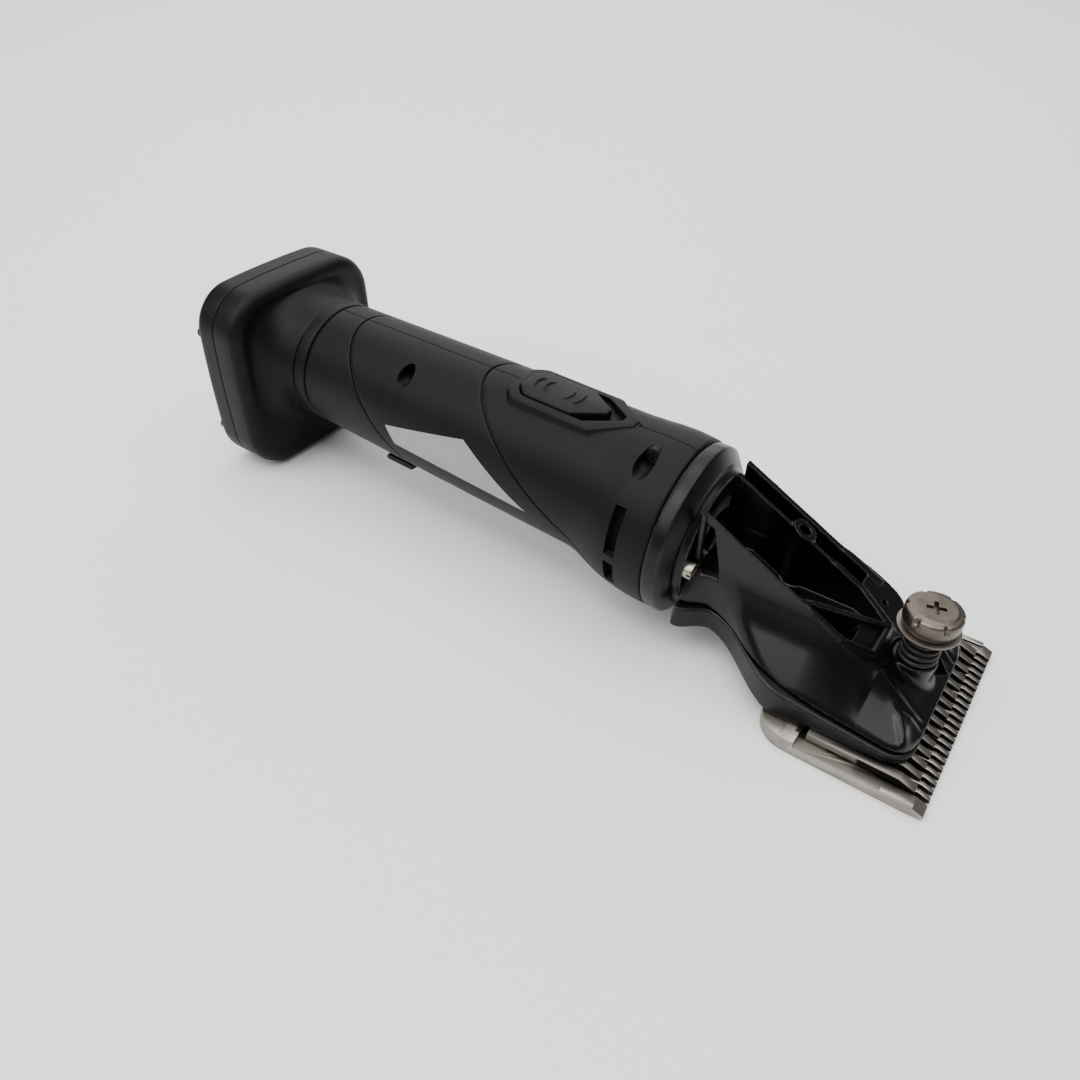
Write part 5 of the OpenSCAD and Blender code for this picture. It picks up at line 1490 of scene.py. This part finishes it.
for k in range(21):
    # the flare: from the foot on the face to the neck, in a quarter turn
    a = math.pi / 2 * k / 20
    reach = neck_top + (foot - neck_top) * (1 - math.sin(a)) ** 1.15
    height = 1 - math.cos(a)
    spot = neck_ring(neck_end + 5.9, reach - 0.6 * height ** 3)
    slope = (spot[:, 2] - neck_foot_z) - reach * np.cos(pack_angle)
    spot[:, 0] = face_x + (spot[:, 0] - face_x) * height
    spot[:, 1] = reach * np.sin(pack_angle)
    spot[:, 2] = neck_foot_z + reach * np.cos(pack_angle) + slope * height
    rings.append(spot)
for behind, reach in ((5.6, neck_top - 0.62), (5.35, neck_top - 0.3), (5.1, neck_top - 0.06),
                      (4.8, neck_top), (0.9, neck_top), (0.35, neck_top - 0.08),
                      (0.12, neck_top - 0.28), (0.0, neck_top - 0.75), (0.0, 20.5), (0.0, 17.9)):
    rings.append(neck_ring(neck_end + behind, reach))
for along, reach in ((149.6, 17.6), (130.0, 17.6), (118.6, 17.6), (117.0, 17.45), (116.2, 17.0),
                     (116.0, 16.3), (116.0, bore_r), (128.0, bore_r), (150.0, bore_r), (166.0, bore_r)):
    rings.append(neck_ring(along, reach))
inside = round_ring(face_x - pack_wall, bore_r, neck_foot_z)
rings.append(inside)
far_inside = slab_ring(pack_thick - pack_wall, 5.0)
for share in (0.35, 0.7, 1.0):
    rings.append(inside + (far_inside - inside) * share)
front_shell = piece("battery_front_moulding", *stack([r * 0.001 for r in rings], closed=True))
slots = [("box", (-140.9, -6.6, -40.0), (-100.0, 6.6, -16.0))]
slots += [("box", (-126.0, y - 0.8, -4.8), (-100.0, y + 0.8, 4.8)) for y in (-9, -3, 3, 9)]
cut_away(front_shell, rod_mesh(slots))
finish_piece(front_shell, pack_black, "battery", ("battery_front_shell",), sharp=40)

wrap = Finish("cell_wrap", Coat_Weight=0.5, Coat_Roughness=0.1)
shrink = wrap.noise(120, 3, 0.5, (1, 1, 0.2))
wrap.set("Base Color", wrap.colours(shrink, rgb(0.03, 0.12, 0.24), rgb(0.05, 0.17, 0.32)))
wrap.set("Roughness", 0.25 + shrink * 0.15)
wrap.set("Normal", wrap.relief(shrink, 0.0001, 0.4))
dress("battery_cells", wrap.material)

# ---------------------------------------------------------------- studio
# The clipper lies on a plain pale table under soft lights, seen from above its
# near front corner.
camera_data = bpy.data.cameras.new("camera")
camera_data.lens = 29.44
camera_data.sensor_width = 36
camera_data.clip_start = 0.01
camera = linked("camera", camera_data)
camera_right = Vector((0.81752508, 0.575696, 0.01506185))
camera_up = Vector((-0.37969628, 0.51915994, 0.7657047))
camera_back = Vector((0.43299363, -0.63170172, 0.6430159))
camera_stand = Matrix((camera_right, camera_up, camera_back)).transposed().to_4x4()
camera_stand.translation = Vector((0.13557693, -0.21191657, 0.21465649))
camera.matrix_world = camera_stand
bpy.context.scene.camera = camera

table_shape = bmesh.new()
bmesh.ops.create_grid(table_shape, x_segments=8, y_segments=8, size=4)
table = shaped("table", table_shape)
table_finish = Finish("pale_table", Roughness=0.6)
table_cloud = table_finish.noise(3, 3, 0.5)
table_finish.set("Base Color", table_finish.colours(table_cloud, rgb(0.88, 0.88, 0.88), rgb(0.9, 0.9, 0.9)))
table_finish.set("Normal", table_finish.relief(table_finish.noise(900, 2, 0.5), 0.00005, 0.15))
table.data.materials.append(table_finish.material)


def soft_light(name, size, energy, place, target):
    """A square soft light at a place, facing the target."""
    data = bpy.data.lights.new(name, "AREA")
    data.size = size
    data.energy = energy
    lamp = linked(name, data)
    lamp.location = place
    lamp.rotation_euler = (Vector(target) - Vector(place)).to_track_quat("-Z", "Y").to_euler()


soft_light("key", 1.9, 46, (-0.68, -1.24, 1.69), (0, 0, 0.03))
soft_light("back", 2.2, 28, (-0.75, 1.15, 1.2), (0, 0, 0.03))
soft_light("top", 2.6, 66, (0.35, 0.0, 2.3), (0, 0, 0.03))
sky = bpy.data.worlds.new("studio")
bpy.context.scene.world = sky
sky.use_nodes = True
sky.node_tree.nodes["Background"].inputs[0].default_value = (0.97, 0.98, 1.0, 1)
sky.node_tree.nodes["Background"].inputs[1].default_value = 0.2
